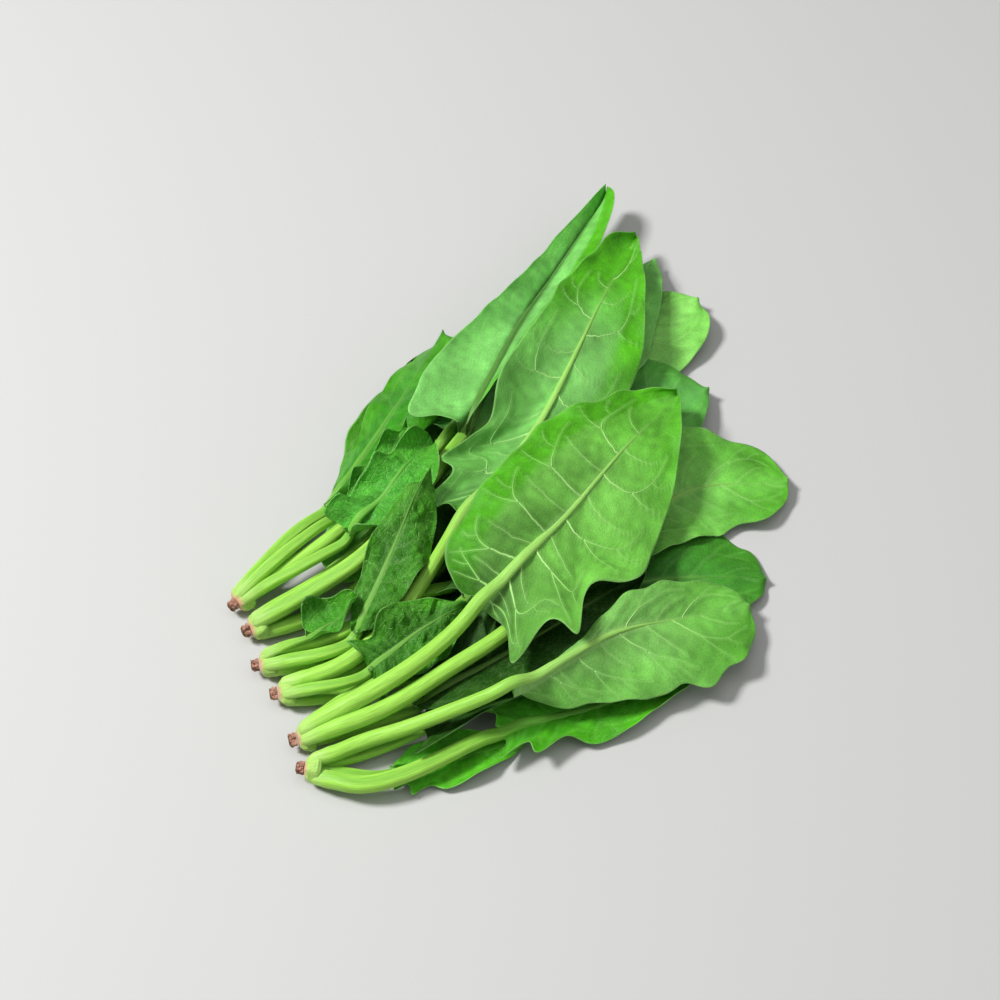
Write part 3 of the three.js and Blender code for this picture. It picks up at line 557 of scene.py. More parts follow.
# ---- Tubes: stalks, midribs and veins ----
@dataclass
class Tube:
    """A closed tube along a curve.

    In each ring a corner lies to the side of the centre by the half width, times its reach, times the cosine
    of its angle, and above it by the half height, times its reach, times the sine. The reach is 1, less a
    bell curve where the channel is, plus a small one at its lips, plus a cosine for the fine ridges.

    Args:
        centres: of its rings.
        side: unit vectors to the side, one for each ring.
        wide: half widths of the rings.
        high: half heights of the rings.
    """

    centres: np.ndarray
    side: np.ndarray
    wide: np.ndarray
    high: np.ndarray

    channel: float = 0.55  # half width of the channel, as an angle
    lip_at: float = 0.95  # from the channel's middle to its lip, as an angle
    lip_width: float = 0.3  # half width of the lip, as an angle
    lip_share: float = 0.35  # height of the lip, as a share of the channel's depth
    ridge: float = 0.014  # height of the fine ridges, as a share of the radius

    def surface(self, sides: int, groove: np.ndarray | None = None, up_side: float = 1.0) -> Surface:
        """Gives the corners and faces.

        Args:
            sides: corners in a ring, an even number.
            groove: how deep the channel is in each ring, as a share of the radius.
            up_side: 1 where the channel is on top, -1 where it is beneath.

        Returns:
            Corners, faces and the angle of each corner from the channel.
        """
        rings = len(self.centres)
        forward = np.gradient(self.centres, axis=0)
        up = np.cross(forward, self.side)
        up /= np.linalg.norm(up, axis=1)[:, None]
        angles = np.tile(ring_angles(sides), (rings, 1))
        off = np.abs((angles - up_side * math.pi / 2 + math.pi) % (2 * math.pi) - math.pi)
        reach = np.ones_like(angles)
        if groove is not None:
            reach -= groove[:, None] * bell(off / self.channel)
            reach += self.lip_share * groove[:, None] * bell((off - self.lip_at) / self.lip_width)
            reach += self.ridge * np.cos(STALK_RIDGES * angles)
        corners = (
            self.centres[:, None]
            + self.side[:, None] * (self.wide[:, None] * reach * np.cos(angles))[..., None]
            + up[:, None] * (self.high[:, None] * reach * np.sin(angles))[..., None]
        ).reshape(-1, 3)
        i = np.arange(1, sides - 2, 2)
        start = np.stack([np.zeros_like(i), i + 2, i + 1, i], 1)
        end = start[:, ::-1] + (rings - 1) * sides
        faces = np.vstack([grid_faces(rings, sides, closed=True)[:, ::-1], start, end])
        return corners, faces, off.reshape(-1)


# ---- A blade ----
@dataclass
class Blade:
    """The surface of one blade, by its share of the length and its signed share of the half width.

    Args:
        leaf: the leaf.
        track: its plan curve.
        solids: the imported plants.
        rng: the source of random numbers.
    """

    leaf: Leaf
    track: Track
    solids: Solids
    rng: np.random.Generator

    ACROSS = (-1, -0.5, 0, 0.5, 1)  # where the solid has corners, as shares of the half width

    fill_passes: int = 400  # of the filling in of hidden heights
    wander_depth: float = 0.035  # how far the outline wanders, as a share of the half width
    wander_length: float = 0.16  # and over what share of the length
    ruffle_length: float = 17.0  # of the waves at the edge, in millimetres
    roll_length: float = 34.0  # of the long, low waves, in millimetres
    ruffle_depth: float = 1.5  # height of the waves at the edge, as a share of the depth
    roll_depth: float = 0.3  # height of the long ones there
    depth: float = 0.35  # of a smooth blade's waves, in millimetres
    puckered_depth: float = 0.25  # more, for each millimetre of pucker
    quilted_depth: float = 1.5  # more, for each millimetre past QUILTED
    still: float = 0.08  # share of the length, at the foot, over which the waves set in

    def __post_init__(self) -> None:
        """Draws the waves and reads the heights of the solid blade."""
        self.rows = np.arange(ROWS + 1)
        self.forms = [np.array(form.value, float) for form in self.leaf.form]
        self.ruffle = Ripple(self.rng, self.ruffle_length)
        self.roll = Ripple(self.rng, self.roll_length)
        self.wander = Ripple(self.rng, self.wander_length)
        self.levels = self.read_levels()

    def edge(self, a: np.ndarray, left: bool) -> np.ndarray:
        """Gives plan points of the outline: the form's share of the half width out from the midrib, with a
        small wander that dies away at the foot and at the tip.

        Args:
            a: shares of the length.
            left: whether the left half is asked.

        Returns:
            A point for each share.
        """
        half = 0 if left else 1
        form = hermite(self.rows, self.forms[half], a.ravel() * ROWS).reshape(a.shape + (2,))
        place, aside = self.track.at(self.track.mark(form[..., 0]))
        out = np.maximum(form[..., 1], 0.01) * self.leaf.width[half] * (1 if left else -1)
        free = ease(0, 0.15, a) * ease(1, 0.85, a)
        out *= 1 + self.wander_depth * self.wander.at(a, np.full_like(a, half)) * free
        return place + aside * out[..., None]

    def plan(self, a: np.ndarray, s: np.ndarray) -> np.ndarray:
        """Gives plan points of the blade, on straight lines from the midrib to the outline.

        Args:
            a: shares of the length.
            s: signed shares of the half width.

        Returns:
            A point for each pair.
        """
        rib, _ = self.track.at(self.track.mark(a))
        rim = np.where((s > 0)[..., None], self.edge(a, True), self.edge(a, False))
        return blend(rib, rim, np.abs(s))

    def read_levels(self) -> np.ndarray:
        """Reads the solid's height at its edges, half way out and at its midrib. What is hidden inside
        another piece is filled in: it is drawn many times to the mean of its neighbours.

        Returns:
            Five heights for each row of the solid.
        """
        leaf, track = self.leaf, self.track
        node = f"plant_{leaf.plant}_leaves"
        levels = np.full((ROWS + 1, len(self.ACROSS)), np.nan)
        for k in range(ROWS + 1):
            rib, _ = track.at(np.array(track.mark(k / ROWS)))
            for j, s in enumerate(self.ACROSS):
                half = 0 if s > 0 else 1
                far, out = self.forms[half][k]
                place, aside = track.at(np.array(track.mark(far)))
                rim = place + aside * out * leaf.width[half] * (1 if s > 0 else -1)
                found = self.solids.heights(node, rib + (rim - rib) * abs(s))
                if len(found) == 0:
                    continue
                if s != 0:
                    levels[k, j] = (found.min() + found.max()) / 2
                elif leaf.under:
                    levels[k, j] = found.min() + HALF_THICKNESS
                else:
                    levels[k, j] = found.max() - HALF_THICKNESS
        missing = np.isnan(levels)
        LOG.info("plant %d: %d of %d heights filled in", leaf.plant, missing.sum(), missing.size)
        levels[missing] = np.nanmean(levels)
        for _ in range(self.fill_passes):
            wide = np.pad(levels, 1, mode="edge")
            around = (wide[:-2, 1:-1] + wide[2:, 1:-1] + wide[1:-1, :-2] + wide[1:-1, 2:]) / 4
            levels[missing] = around[missing]
        return levels + leaf.look.lift

    def level(self, a: np.ndarray, s: np.ndarray) -> np.ndarray:
        """Gives the smooth height of the solid blade's middle: along each half a parabola through the heights
        at the midrib, half way out and at the edge.

        Args:
            a: shares of the length.
            s: signed shares of the half width.

        Returns:
            A height for each pair.
        """
        rows = hermite(self.rows, self.levels, a.ravel() * ROWS).reshape(a.shape + (len(self.ACROSS),))
        middle = rows[..., 2]
        half = np.where(s > 0, rows[..., 3], rows[..., 1])
        rim = np.where(s > 0, rows[..., 4], rows[..., 0])
        t = np.abs(s)
        return middle + t * (4 * half - 3 * middle - rim) + t * t * (2 * middle - 4 * half + 2 * rim)

    def point(self, a: np.ndarray, s: np.ndarray) -> np.ndarray:
        """Gives places on the middle of the blade, with the soft waves that the solid leaves out. Those of
        the edge grow with the cube of the distance from the midrib, and the long ones with the distance.

        Args:
            a: shares of the length.
            s: signed shares of the half width.

        Returns:
            A place for each pair.
        """
        plan = self.plan(a, s)
        t = np.abs(s)
        pucker = self.leaf.look.pucker
        depth = self.depth + self.puckered_depth * pucker + self.quilted_depth * max(0.0, pucker - QUILTED)
        waves = depth * (self.ruffle_depth * t**3 * self.ruffle.at(plan[..., 0], plan[..., 1]))
        waves += self.roll_depth * depth * t * self.roll.at(plan[..., 0], plan[..., 1])
        height = self.level(a, s) + waves * ease(0, self.still, a)
        return np.concatenate([plan, height[..., None]], -1)


@dataclass
class Vein:
    """One side vein.

    Args:
        a: its path over the blade, in shares of the length.
        s: the same, in signed shares of the half width.
        radius: at each point of the path.
    """

    a: np.ndarray
    s: np.ndarray
    radius: np.ndarray


@dataclass
class Veins:
    """The side veins of a blade.

    Each strong one runs out to a kink and forks there: one branch bends towards the tip, the other runs on
    to the edge. Thin ones lie between them.

    Args:
        leaf: the leaf.
        rng: the source of random numbers.
    """

    leaf: Leaf
    rng: np.random.Generator
    drawn: list[Vein] = field(default_factory=list)

    size: float = 0.175  # radius of the strongest vein, as a share of the stalk's
    first: float = 0.02  # where the first one leaves the midrib on the right, as a share of the length
    later: float = 0.045  # how much later it does on the left
    last: float = 0.84  # past this, none leaves it
    gap: tuple[float, float] = (0.105, 0.125)  # between the first two, as a share of the length
    widening: tuple[float, float] = (1.12, 1.32)  # each gap, as a share of the one before
    kink: tuple[float, float] = (0.38, 0.52)  # where a strong vein forks, as a share of the half width
    climb: tuple[float, float] = (0.045, 0.075)  # how far towards the tip it has run by then
    ahead: tuple[float, float] = (0.12, 0.17)  # how far its forward branch runs on
    shake: float = 0.0012  # how unsteadily a strong vein runs, as a share of the length
    thin_shake: float = 0.0015  # and a thin one
    forward: float = 0.6  # radius of the branch that bends forward, as a share of the trunk's
    outward: float = 0.5  # radius of the one that runs on to the edge
    twig: float = 0.3  # radius of the twig, and of a thin vein
    rim: float = 0.93  # where the outward branch ends, as a share of the half width
    twig_rim: float = 0.9  # and the twig
    thin_rim: tuple[float, float] = (0.5, 0.65)  # and a thin vein
    end: float = 0.975  # how near the tip a vein may come, as a share of the length
    fewest: int = 4  # points that make a vein

    def __post_init__(self) -> None:
        """Draws the veins of both halves, from the foot to the tip."""
        rng = self.rng
        size = self.size * self.leaf.radius * (0.5 + 0.5 * self.leaf.look.veins)
        for side in (1, -1):
            start = self.first + (self.later if side > 0 else 0.0)
            gap = rng.uniform(*self.gap)
            while start < self.last:
                wide = size * (1.05 - 0.7 * start)
                self.add_strong(start, side, wide)
                self.add_thin(start + gap * rng.uniform(0.4, 0.6), side, self.twig * wide)
                start += gap
                gap *= rng.uniform(*self.widening)

    def add(self, a: np.ndarray, s: np.ndarray, radius: np.ndarray) -> None:
        """Keeps the part of a path that lies on the blade.

        Args:
            a: shares of the length.
            s: signed shares of the half width.
            radius: at each point.
        """
        keep = a < self.end
        if keep.sum() >= self.fewest:
            self.drawn.append(Vein(a[keep], s[keep], radius[keep]))

    def add_strong(self, a: float, side: int, wide: float) -> None:
        """Adds a strong vein: a trunk, its two branches, and a twig on the one that bends forward. The trunk
        climbs with the power 1.25 of the way out, the branches bend with its square, and each grows thinner
        evenly.

        Args:
            a: where it leaves the midrib.
            side: 1 to the left, -1 to the right.
            wide: its radius there.
        """
        rng = self.rng
        q = np.linspace(0, 1, VEIN_STEPS)
        kink = rng.uniform(*self.kink)
        climb = rng.uniform(*self.climb) * min(1, 0.35 + a / 0.15)
        shake = self.shake * np.cumsum(rng.normal(size=VEIN_STEPS))
        trunk = a + climb * q**1.25 + shake
        self.add(trunk, side * kink * q, wide * (1 - 0.4 * q))
        reach = rng.uniform(*self.ahead)
        far = 0.84 - 0.2 * a
        ahead = trunk[-1] + reach * (q + 0.6 * q**2) / 1.6
        across = kink + (far - kink) * (1.35 * q - 0.35 * q**2)
        self.add(ahead, side * across, wide * self.forward * (1 - 0.75 * q))
        out = trunk[-1] + rng.uniform(0.0, 0.035) * q + 0.02 * q**2
        self.add(out, side * (kink + (self.rim - kink) * q), wide * self.outward * (1 - 0.75 * q))
        i = VEIN_STEPS // 2
        twig = ahead[i] + 0.035 * q**2
        spread = across[i] + (self.twig_rim - across[i]) * q
        self.add(twig, side * spread, wide * self.twig * (1 - 0.6 * q))

    def add_thin(self, a: float, side: int, wide: float) -> None:
        """Adds a thin vein, which ends before the edge.

        Args:
            a: where it leaves the midrib.
            side: 1 to the left, -1 to the right.
            wide: its radius there.
        """
        rng = self.rng
        q = np.linspace(0, 1, VEIN_STEPS)
        shake = self.thin_shake * np.cumsum(rng.normal(size=VEIN_STEPS))
        reach = rng.uniform(*self.thin_rim)
        self.add(a + rng.uniform(0.05, 0.09) * q**1.5 + shake, side * reach * q, wide * (1 - 0.7 * q))


# ---- A whole leaf ----
class Finish(IntEnum):
    """The material slots of a leaf."""

    UNDERSIDE = 0
    UPPER = 1
    STALK = 2
    QUILTED_UPPER = 3


@dataclass
class LeafModel:
    """One finished leaf: stalk and midrib, side veins, and the puckered sheet of the blade.

    Args:
        leaf: the leaf.
        name: of the finished object.
        solids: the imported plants.
        rng: the source of random numbers.
    """

    leaf: Leaf
    name: str
    solids: Solids
    rng: np.random.Generator

    PAINTED_GLOW_GREEN = linear("#4fa818")  # painted light: the saturated green of light shining through an edge or the tip
    STALK = linear("#a3dc56")
    STALK_DEEP_AND_CHANNEL_SHADE = linear("#66b234")  # the deeper green farther along the stalk and where it turns into the midrib; darkened, also the painted shade in the channel
    STALK_FOOT = linear("#c3e48a")
    RIB = linear("#a9df72")
    VEIN = linear("#b0e389")
    MARGIN = linear("#a9d98a")  # the thin pale line along the edge

    groove: float = 0.12  # depth of the stalk's channel, as a share of its radius
    roof: float = 0.3  # how far the midrib reaches through to the blade's other side, in millimetres
    rib_reach: float = 0.965  # how far the midrib runs, as a share of the blade
    foot_rings: tuple[float, ...] = (0, 0.04, 0.13, 0.3, 0.6)  # of its rounded end, as shares of ROUNDED
    ring_step: float = 2.2  # between a stalk's rings, in millimetres
    map_step: float = 0.9  # between a stalk's corners on its skin, in millimetres
    fine_grid: tuple[int, int] = (112, 60)  # faces along and across a blade that shows well
    plain_grid: tuple[int, int] = (66, 40)  # and one that is mostly hidden
    crumple_length: float = 7.0  # of the uneven bulges, in millimetres
    quilt_length: float = 3.6  # of the small bumps of a puckered skin, in millimetres
    cloud_length: float = 22.0  # of the broad changes of colour, in millimetres
    mottle_length: float = 6.0  # of the small ones, in millimetres
    cloud_share: float = 0.09  # how much lighter or darker the broad ones turn it
    mottle_share: float = 0.06  # and the small ones
    vein_width: float = 0.7  # half width of a drawn side vein, and of the painted shadow line beside it, in millimetres
    vein_shadow_gap: float = 1.3  # how far from the vein the painted shadow line lies, in millimetres
    rib_width: float = 0.8  # how far the midrib's colour spreads beside it, in millimetres
    fold_shade_width: float = 2.2  # and the painted shade along a folded midrib
    crease_shade_at: float = 0.42  # where the painted shade of a half's crease is darkest, as a share of the half width
    crease_shade_width: float = 0.18  # and half the width of that, as such a share

    def __post_init__(self) -> None:
        """Lays the leaf's plan curve and reads its heights from the solids."""
        leaf = self.leaf
        at, heading = PLANTS[leaf.plant]
        turn = math.radians(heading)
        ahead = np.array([math.cos(turn), math.sin(turn)])
        across = leaf.slot[0] * np.array([-ahead[1], ahead[0]])
        start = np.array(at) + GATHERED * across - ROOTED * ahead
        lead = np.array(at) + across + LEAD * ahead
        self.track = Track([start, lead, *leaf.stalk, leaf.base, leaf.middle, leaf.tip])
        self.blade = Blade(leaf, self.track, self.solids, self.rng)
        self.veins = Veins(leaf, self.rng).drawn
        self.shift = np.array([*self.solids.shift, 0])
        self.sign = 1 if leaf.under else -1
        self.offset = self.rng.uniform(0, 500, 2)
        self.course = self.read_course()
        self.shell = Shell()

    def read_course(self) -> tuple[np.ndarray, np.ndarray]:
        """Reads how high the middle of the stalk and midrib lies.

        Returns:
            Distances along the track, and the height at each.
        """
        leaf, track = self.leaf, self.track
        node = f"plant_{leaf.plant}_leaves"
        count = round((track.foot + ROOTED) / STALK_STEP)
        low = AXIS_HEIGHT + (leaf.slot[1] - AXIS_HEIGHT) * GATHERED
        knots, values = [0.0], [low]
        for i in range(1, count):
            along = track.foot * i / count
            place, left = track.at(np.array(along))
            grown = GATHERED + (1 - GATHERED) * min(1, along / GROWN)
            radius = grown * leaf.radius * (1 + (FOOT_SHARE - 1) * along / track.foot)
            found = [self.solids.heights(node, place + side * radius * left) for side in (-1, 1)]
            found = np.concatenate(found)
            if len(found):
                knots.append(along)
                values.append(float(np.median(found)))
        knots.extend(track.mark(np.arange(ROWS + 1) / ROWS))
        values.extend(self.blade.levels[:, 2])
        return np.array(knots), np.array(values)

    def rib_radius(self, along: np.ndarray) -> np.ndarray:
        """Gives the radius of the stalk, which falls evenly, is drawn in at the collar and ends round, and of
        the midrib, which falls with the power 1.5 of what is left of the blade.

        Args:
            along: distances along the track.

        Returns:
            A radius for each.
        """
        track, foot = self.track, self.leaf.radius * FOOT_SHARE
        stalk = self.leaf.radius + (foot - self.leaf.radius) * along / track.foot
        stalk = stalk * (GATHERED + (1 - GATHERED) * ease(0, GROWN, along))
        stalk = stalk * np.sqrt(np.clip(1 - (1 - along / ROUNDED) ** 2 * (along < ROUNDED), 0.02, 1))
        share = np.clip((along - track.foot) / track.blade, 0, 1)
        return np.where(along < track.foot, stalk, RIB_END + (foot - RIB_END) * (1 - share) ** 1.5)

    def eased_path(self, along: np.ndarray) -> np.ndarray:
        """Gives the middle of the stalk and midrib. The stalk is evened out, each point of a fine row being
        drawn many times to the mean of its neighbours, and the midrib keeps to the blade.

        Args:
            along: distances along the track.

        Returns:
            A place for each.
        """
        track = self.track
        fine = np.linspace(0, track.length, int(track.length / 2))
        knots, values = self.course
        path = np.column_stack([track.at(fine)[0], hermite(knots, values, fine)])
        free = ease(track.foot - 2, track.foot - 22, fine)[:, None] * ease(0, 4, fine)[:, None]
        for _ in range(EASE_PASSES):
            mean = (path[:-2] + path[2:]) / 2
            path[1:-1] += 0.5 * free[1:-1] * (mean - path[1:-1])
        return np.column_stack([np.interp(along, fine, path[:, i]) for i in range(3)])

    def add_rib(self) -> None:
        """Adds the stalk, which runs on as the midrib: round with a channel up to the foot of the blade, and
        beyond it high on the underside and cut off just past the other side."""
        track = self.track
        bend = ROUNDED * np.array(self.foot_rings)
        end = track.mark(self.rib_reach)
        along = np.concatenate([bend, np.linspace(ROUNDED, end, int(track.length / self.ring_step))])
        _, left = track.at(along)
        radius = self.rib_radius(along)
        inside = ease(-4, 10, along - track.foot)
        ridge = (1 + SINK) * radius
        high = radius + ((ridge + self.roof) / 2 - radius) * inside
        centres = self.eased_path(along)
        centres[:, 2] += self.sign * inside * (ridge - self.roof) / 2
        tube = Tube(centres, np.column_stack([left, np.zeros(len(along))]), radius, high)
        groove = self.groove * (1 - inside) * ease(3, 16, along)
        corners, faces, off_channel = tube.surface(STALK_SIDES, groove, -self.sign)
        reach = np.repeat(along, STALK_SIDES)
        around = np.tile(np.arange(STALK_SIDES), len(along))
        maps = np.column_stack([reach, around * self.map_step]) + self.offset
        self.shell.add(corners, faces, Finish.STALK, self.rib_tones(reach, off_channel), maps)

    def rib_tones(self, reach: np.ndarray, off_channel: np.ndarray) -> np.ndarray:
        """Colours the stalk and midrib: pale at the collar and deeper farther on, darker in the channel as
        painted shade, with lighter crests and darker grooves on the fine ridges as painted light and shade,
        the rib's own colour on the blade, darkened on the upper side of a folded blade as painted shade, and
        nearly the blade's at the tip, with the blade's painted glow of light shining through.

        Args:
            reach: how far along the track each corner is.
            off_channel: angle of each corner from the channel.

        Returns:
            A linear colour for each corner.
        """
        track, look = self.track, self.leaf.look
        pale = ease(track.foot * 1.05 + track.blade * 0.9, track.foot * 0.3, reach)
        tones = blend(self.STALK_DEEP_AND_CHANNEL_SHADE, self.STALK, pale)
        # Painted shade: darker in the channel.
        tones = blend(tones, self.STALK_DEEP_AND_CHANNEL_SHADE * 0.8, 0.5 * bell(off_channel / 0.5))
        around = np.tile(ring_angles(STALK_SIDES), len(reach) // STALK_SIDES)
        # Painted light and shade: the crests of the fine ridges lighter, their grooves darker.
        tones = tones * (1 + 0.05 * np.cos(STALK_RIDGES * around))[:, None]
        skin = linear(look.underside if self.leaf.under else look.upper)
        rib = self.RIB
        if not self.leaf.under:
            # Painted shade: on an upper side the midrib is darkened where the blade is folded.
            rib = (skin + (rib - skin) * 0.5 * look.veins) * (1 - look.painted_fold_shade)
        tones = blend(tones, rib, 0.85 * ease(track.foot - 12, track.foot + 18, reach))
        # Painted light: towards the tip the rib takes the blade's saturated green of light shining through.
        skin = skin + (self.PAINTED_GLOW_GREEN - skin) * min(1.0, look.painted_glow[2])
        share = (reach - track.foot) / track.blade
        tones = blend(tones, skin, 0.7 * ease(0.4, 0.95, share))
        return blend(tones, self.STALK_FOOT, 0.5 * ease(11, 3, reach))

    def add_veins(self) -> None:
        """Adds the side veins, raised on the underside. Each is a thin tube whose middle lies a quarter of
        its radius inside the sheet's skin, and it takes the blade's colour where it fades out."""
        under = linear(self.leaf.look.underside)
        step = 0.01
        for vein in self.veins:
            outward = np.sign(vein.s[-1])
            here = self.blade.point(vein.a, vein.s)
            along = self.blade.point(np.minimum(vein.a + step, 1), vein.s) - here
            inner = vein.s * (1 - step) - outward * step
            across = (here - self.blade.point(vein.a, inner)) * outward
            normal = np.cross(along, across)
            normal /= np.linalg.norm(normal, axis=1)[:, None]
            radius = vein.radius
            out = SHEET_THICKNESS / 2 - 0.25 * radius + self.swelling(vein.a, vein.s, here)
            centres = here + normal * (self.sign * out)[:, None]
            side = np.cross(normal, np.gradient(centres, axis=0))
            side /= np.linalg.norm(side, axis=1)[:, None]
            corners, faces, _ = Tube(centres, side, radius, radius * 0.9).surface(VEIN_SIDES)
            fade = np.repeat(ease(0.15, 0.8, np.abs(vein.s)), VEIN_SIDES)
            tones = blend(under, self.VEIN, self.leaf.look.veins * (0.9 - 0.75 * fade))
            share = np.repeat(np.linspace(0, 1, len(radius)), VEIN_SIDES)
            maps = np.column_stack([share * 20, np.zeros(len(share))]) + self.offset
            self.shell.add(corners, faces, Finish.STALK, tones, maps)

    def swelling(self, a: np.ndarray, s: np.ndarray, place: np.ndarray) -> np.ndarray:
        """Gives how far the sheet swells out on its underside: along its midrib by most of the rib's radius,
        falling off with the distance as a bell curve, and elsewhere by half the depth of the puckers, so that
        these go as far up as down.

        Args:
            a: shares of the length.
            s: signed shares of the half width.
            place: the places on the blade.

        Returns:
            Millimetres for each place.
        """
        along = self.track.mark(a)
        rib, _ = self.track.at(along)
        radius = self.rib_radius(along)
        gap = np.linalg.norm(place[..., :2] - rib, axis=-1)
        fillet = 0.55 * radius * bell(gap / (1.5 * radius + 0.4))
        return fillet + 0.45 * self.leaf.look.pucker * ease(0, 3, gap - radius) * ease(1.0, 0.85, np.abs(s))

    def vein_distance(self, plan: np.ndarray) -> np.ndarray:
        """Gives how far each plan point is from the nearest side vein.

        Args:
            plan: the points.

        Returns:
            A distance for each, in millimetres.
        """
        paths = []
        for vein in self.veins:
            t = np.linspace(0, 1, len(vein.a))
            fine = np.linspace(0, 1, 3 * len(vein.a))
            paths.append(self.blade.plan(np.interp(fine, t, vein.a), np.interp(fine, t, vein.s)))
        path = np.vstack(paths)
        flat = plan.reshape(-1, 2)
        nearest = np.full(len(flat), np.inf)
        for start in range(0, len(path), BATCH):
            gaps = flat[:, None] - path[None, start : start + BATCH]
            nearest = np.minimum(nearest, (gaps**2).sum(-1).min(1))
        return np.sqrt(nearest).reshape(plan.shape[:-1])

    def add_sheet(self) -> None:
        """Adds the blade: two skins and the rim between them.

        The middle of the sheet is the blade's surface, moved along its normal: out to the underside by the
        swelling, and back by the puckers, which rise between the veins as 1 less a bell curve of the distance
        to the nearest one. The thickness falls with the fifth power of the distance from the midrib.
        """
        leaf, look, track = self.leaf, self.leaf.look, self.track
        rows, columns = self.fine_grid if look.fine else self.plain_grid
        a = np.repeat(np.linspace(0, 1, rows + 1)[:, None], columns + 1, 1)
        s = np.repeat(np.linspace(-1, 1, columns + 1)[None, :], rows + 1, 0)
        s = np.sign(s) * np.abs(s) ** 0.9
        middle = self.blade.point(a, s)
        normal = np.cross(np.gradient(middle, axis=0), np.gradient(middle, axis=1))
        normal /= np.maximum(np.linalg.norm(normal, axis=-1), 1e-9)[..., None]

        t = np.abs(s)
        gap = self.vein_distance(middle[..., :2])
        along = track.mark(a)
        rib, _ = track.at(along)
        rib_gap = np.linalg.norm(middle[..., :2] - rib, axis=-1)
        radius = self.rib_radius(along)
        bulge = (1 - bell(gap / 3.0)) * ease(1.0, 0.8, t) * ease(0, 3, rib_gap - radius)
        crumple = Ripple(self.rng, self.crumple_length).at(middle[..., 0], middle[..., 1])
        quilt = Ripple(self.rng, self.quilt_length).at(middle[..., 0], middle[..., 1])
        quilt = quilt * ease(0.9, 1.4, np.array(look.pucker))
        lift = self.swelling(a, s, middle) - look.pucker * bulge * (0.8 + 0.14 * crumple + 0.6 * quilt)
        middle = middle + normal * (self.sign * lift)[..., None]

        half = (SHEET_THICKNESS - (SHEET_THICKNESS - RIM_THICKNESS) * t**5) / 2
        tones = {
            False: self.tones(look.upper, a, s, gap, rib_gap - 0.3 * radius, middle, UPPER_VEINS),
            True: self.tones(look.underside, a, s, gap, rib_gap - radius, middle, UNDERSIDE_VEINS),
        }
        upper = Finish.QUILTED_UPPER if look.pucker > QUILTED else Finish.UPPER
        maps = np.stack([a * track.blade, np.sign(s) * rib_gap], -1).reshape(-1, 2) + self.offset
        quads = grid_faces(rows + 1, columns + 1)
        for up in (1, -1):
            under = (up > 0) == leaf.under
            corners = middle + normal * (up * half)[..., None]
            self.shell.add(
                corners.reshape(-1, 3),
                quads if up > 0 else quads[:, ::-1],
                Finish.UNDERSIDE if under else upper,
                tones[under].reshape(-1, 3),
                maps,
            )
        self.add_rim(rows + 1, columns + 1)

    def add_rim(self, rows: int, columns: int) -> None:
        """Joins the edges of the two skins that were added last.

        Args:
            rows: of corners in each skin.
            columns: of corners in each skin.
        """
        right = np.arange(rows) * columns
        left = right[::-1] + columns - 1
        tip = (rows - 1) * columns + np.arange(columns)
        foot = np.arange(columns)[::-1]
        loop = np.concatenate([right[:-1], tip[:-1], left[:-1], foot[:-1]])
        after = np.roll(loop, -1)
        count = rows * columns
        upper = self.shell.count - 2 * count
        lower = self.shell.count - count
        walls = np.stack([lower + loop, lower + after, upper + after, upper + loop], 1)
        self.shell.faces.append(walls)
        self.shell.slots.append(np.full(len(walls), int(Finish.UNDERSIDE)))

    def tones(
        self, code: str, a: np.ndarray, s: np.ndarray, gap: np.ndarray, rib_gap: np.ndarray,
        middle: np.ndarray, vein_share: float,
    ) -> np.ndarray:
        """Colours one skin, in this order: the main colour, the painted glow of light through edges and tip,
        clouds, a paler tint near each vein with a painted shadow line next to it, painted shade in the middle
        of each half, painted shade near the foot deep in the heap, veins and midrib, painted shade along a
        folded midrib, the margin.

        Args:
            code: its main colour.
            a: share of the length.
            s: signed share of the half width.
            gap: distance to the nearest side vein.
            rib_gap: distance to the midrib's side.
            middle: places on the blade.
            vein_share: how pale the veins are drawn.

        Returns:
            A linear colour for each corner.
        """
        look = self.leaf.look
        base = linear(code)
        left, right, tip = look.painted_glow
        t = np.abs(s)
        shown = vein_share * look.veins
        side = np.where(s > 0, left, right)
        # Painted light: a saturated green where light is taken to shine through the edges and the tip.
        painted_glow = side * ease(0.18 + 0.32 * side, 0.68, t) + tip * ease(0.58, 0.84, a)
        painted_glow_tone = self.PAINTED_GLOW_GREEN * (0.75 + 0.25 * base[1] / self.PAINTED_GLOW_GREEN[1])
        cloud = Ripple(self.rng, self.cloud_length).at(middle[..., 0], middle[..., 1])
        mottle = Ripple(self.rng, self.mottle_length).at(middle[..., 0], middle[..., 1])
        tones = np.broadcast_to(base, a.shape + (3,))
        tones = blend(tones, painted_glow_tone, np.clip(painted_glow, 0, 1))
        tones = tones * (1 + self.cloud_share * cloud + self.mottle_share * mottle)[..., None]
        # A paler tint near each vein, and a dark line next to it that is painted shadow of the raised vein.
        vein_tint_and_shadow = 0.1 * bell(gap / 3.5) - 1.3 * shown * bell((gap - self.vein_shadow_gap) / self.vein_width)
        tones = tones * (1 + vein_tint_and_shadow)[..., None]
        # Painted shade: each half is darker in its middle, towards the foot, as in a crease.
        painted_crease_shade = 0.15 * side * bell((t - self.crease_shade_at) / self.crease_shade_width) * ease(0.85, 0.5, a)
        # Painted shade: the blade is darker near its foot, where the heap shades it.
        tones = tones * (1 - painted_crease_shade)[..., None] * (1 - look.painted_foot_shade * ease(0.48, 0.02, a))[..., None]
        tones = blend(tones, self.VEIN, shown * bell(gap / self.vein_width))
        rib_gap = np.maximum(rib_gap, 0)
        rib_share = (0.2 + 2 * vein_share) * ease(1.0, 0.3, a)
        tones = blend(tones, self.VEIN, rib_share * bell(rib_gap / self.rib_width))
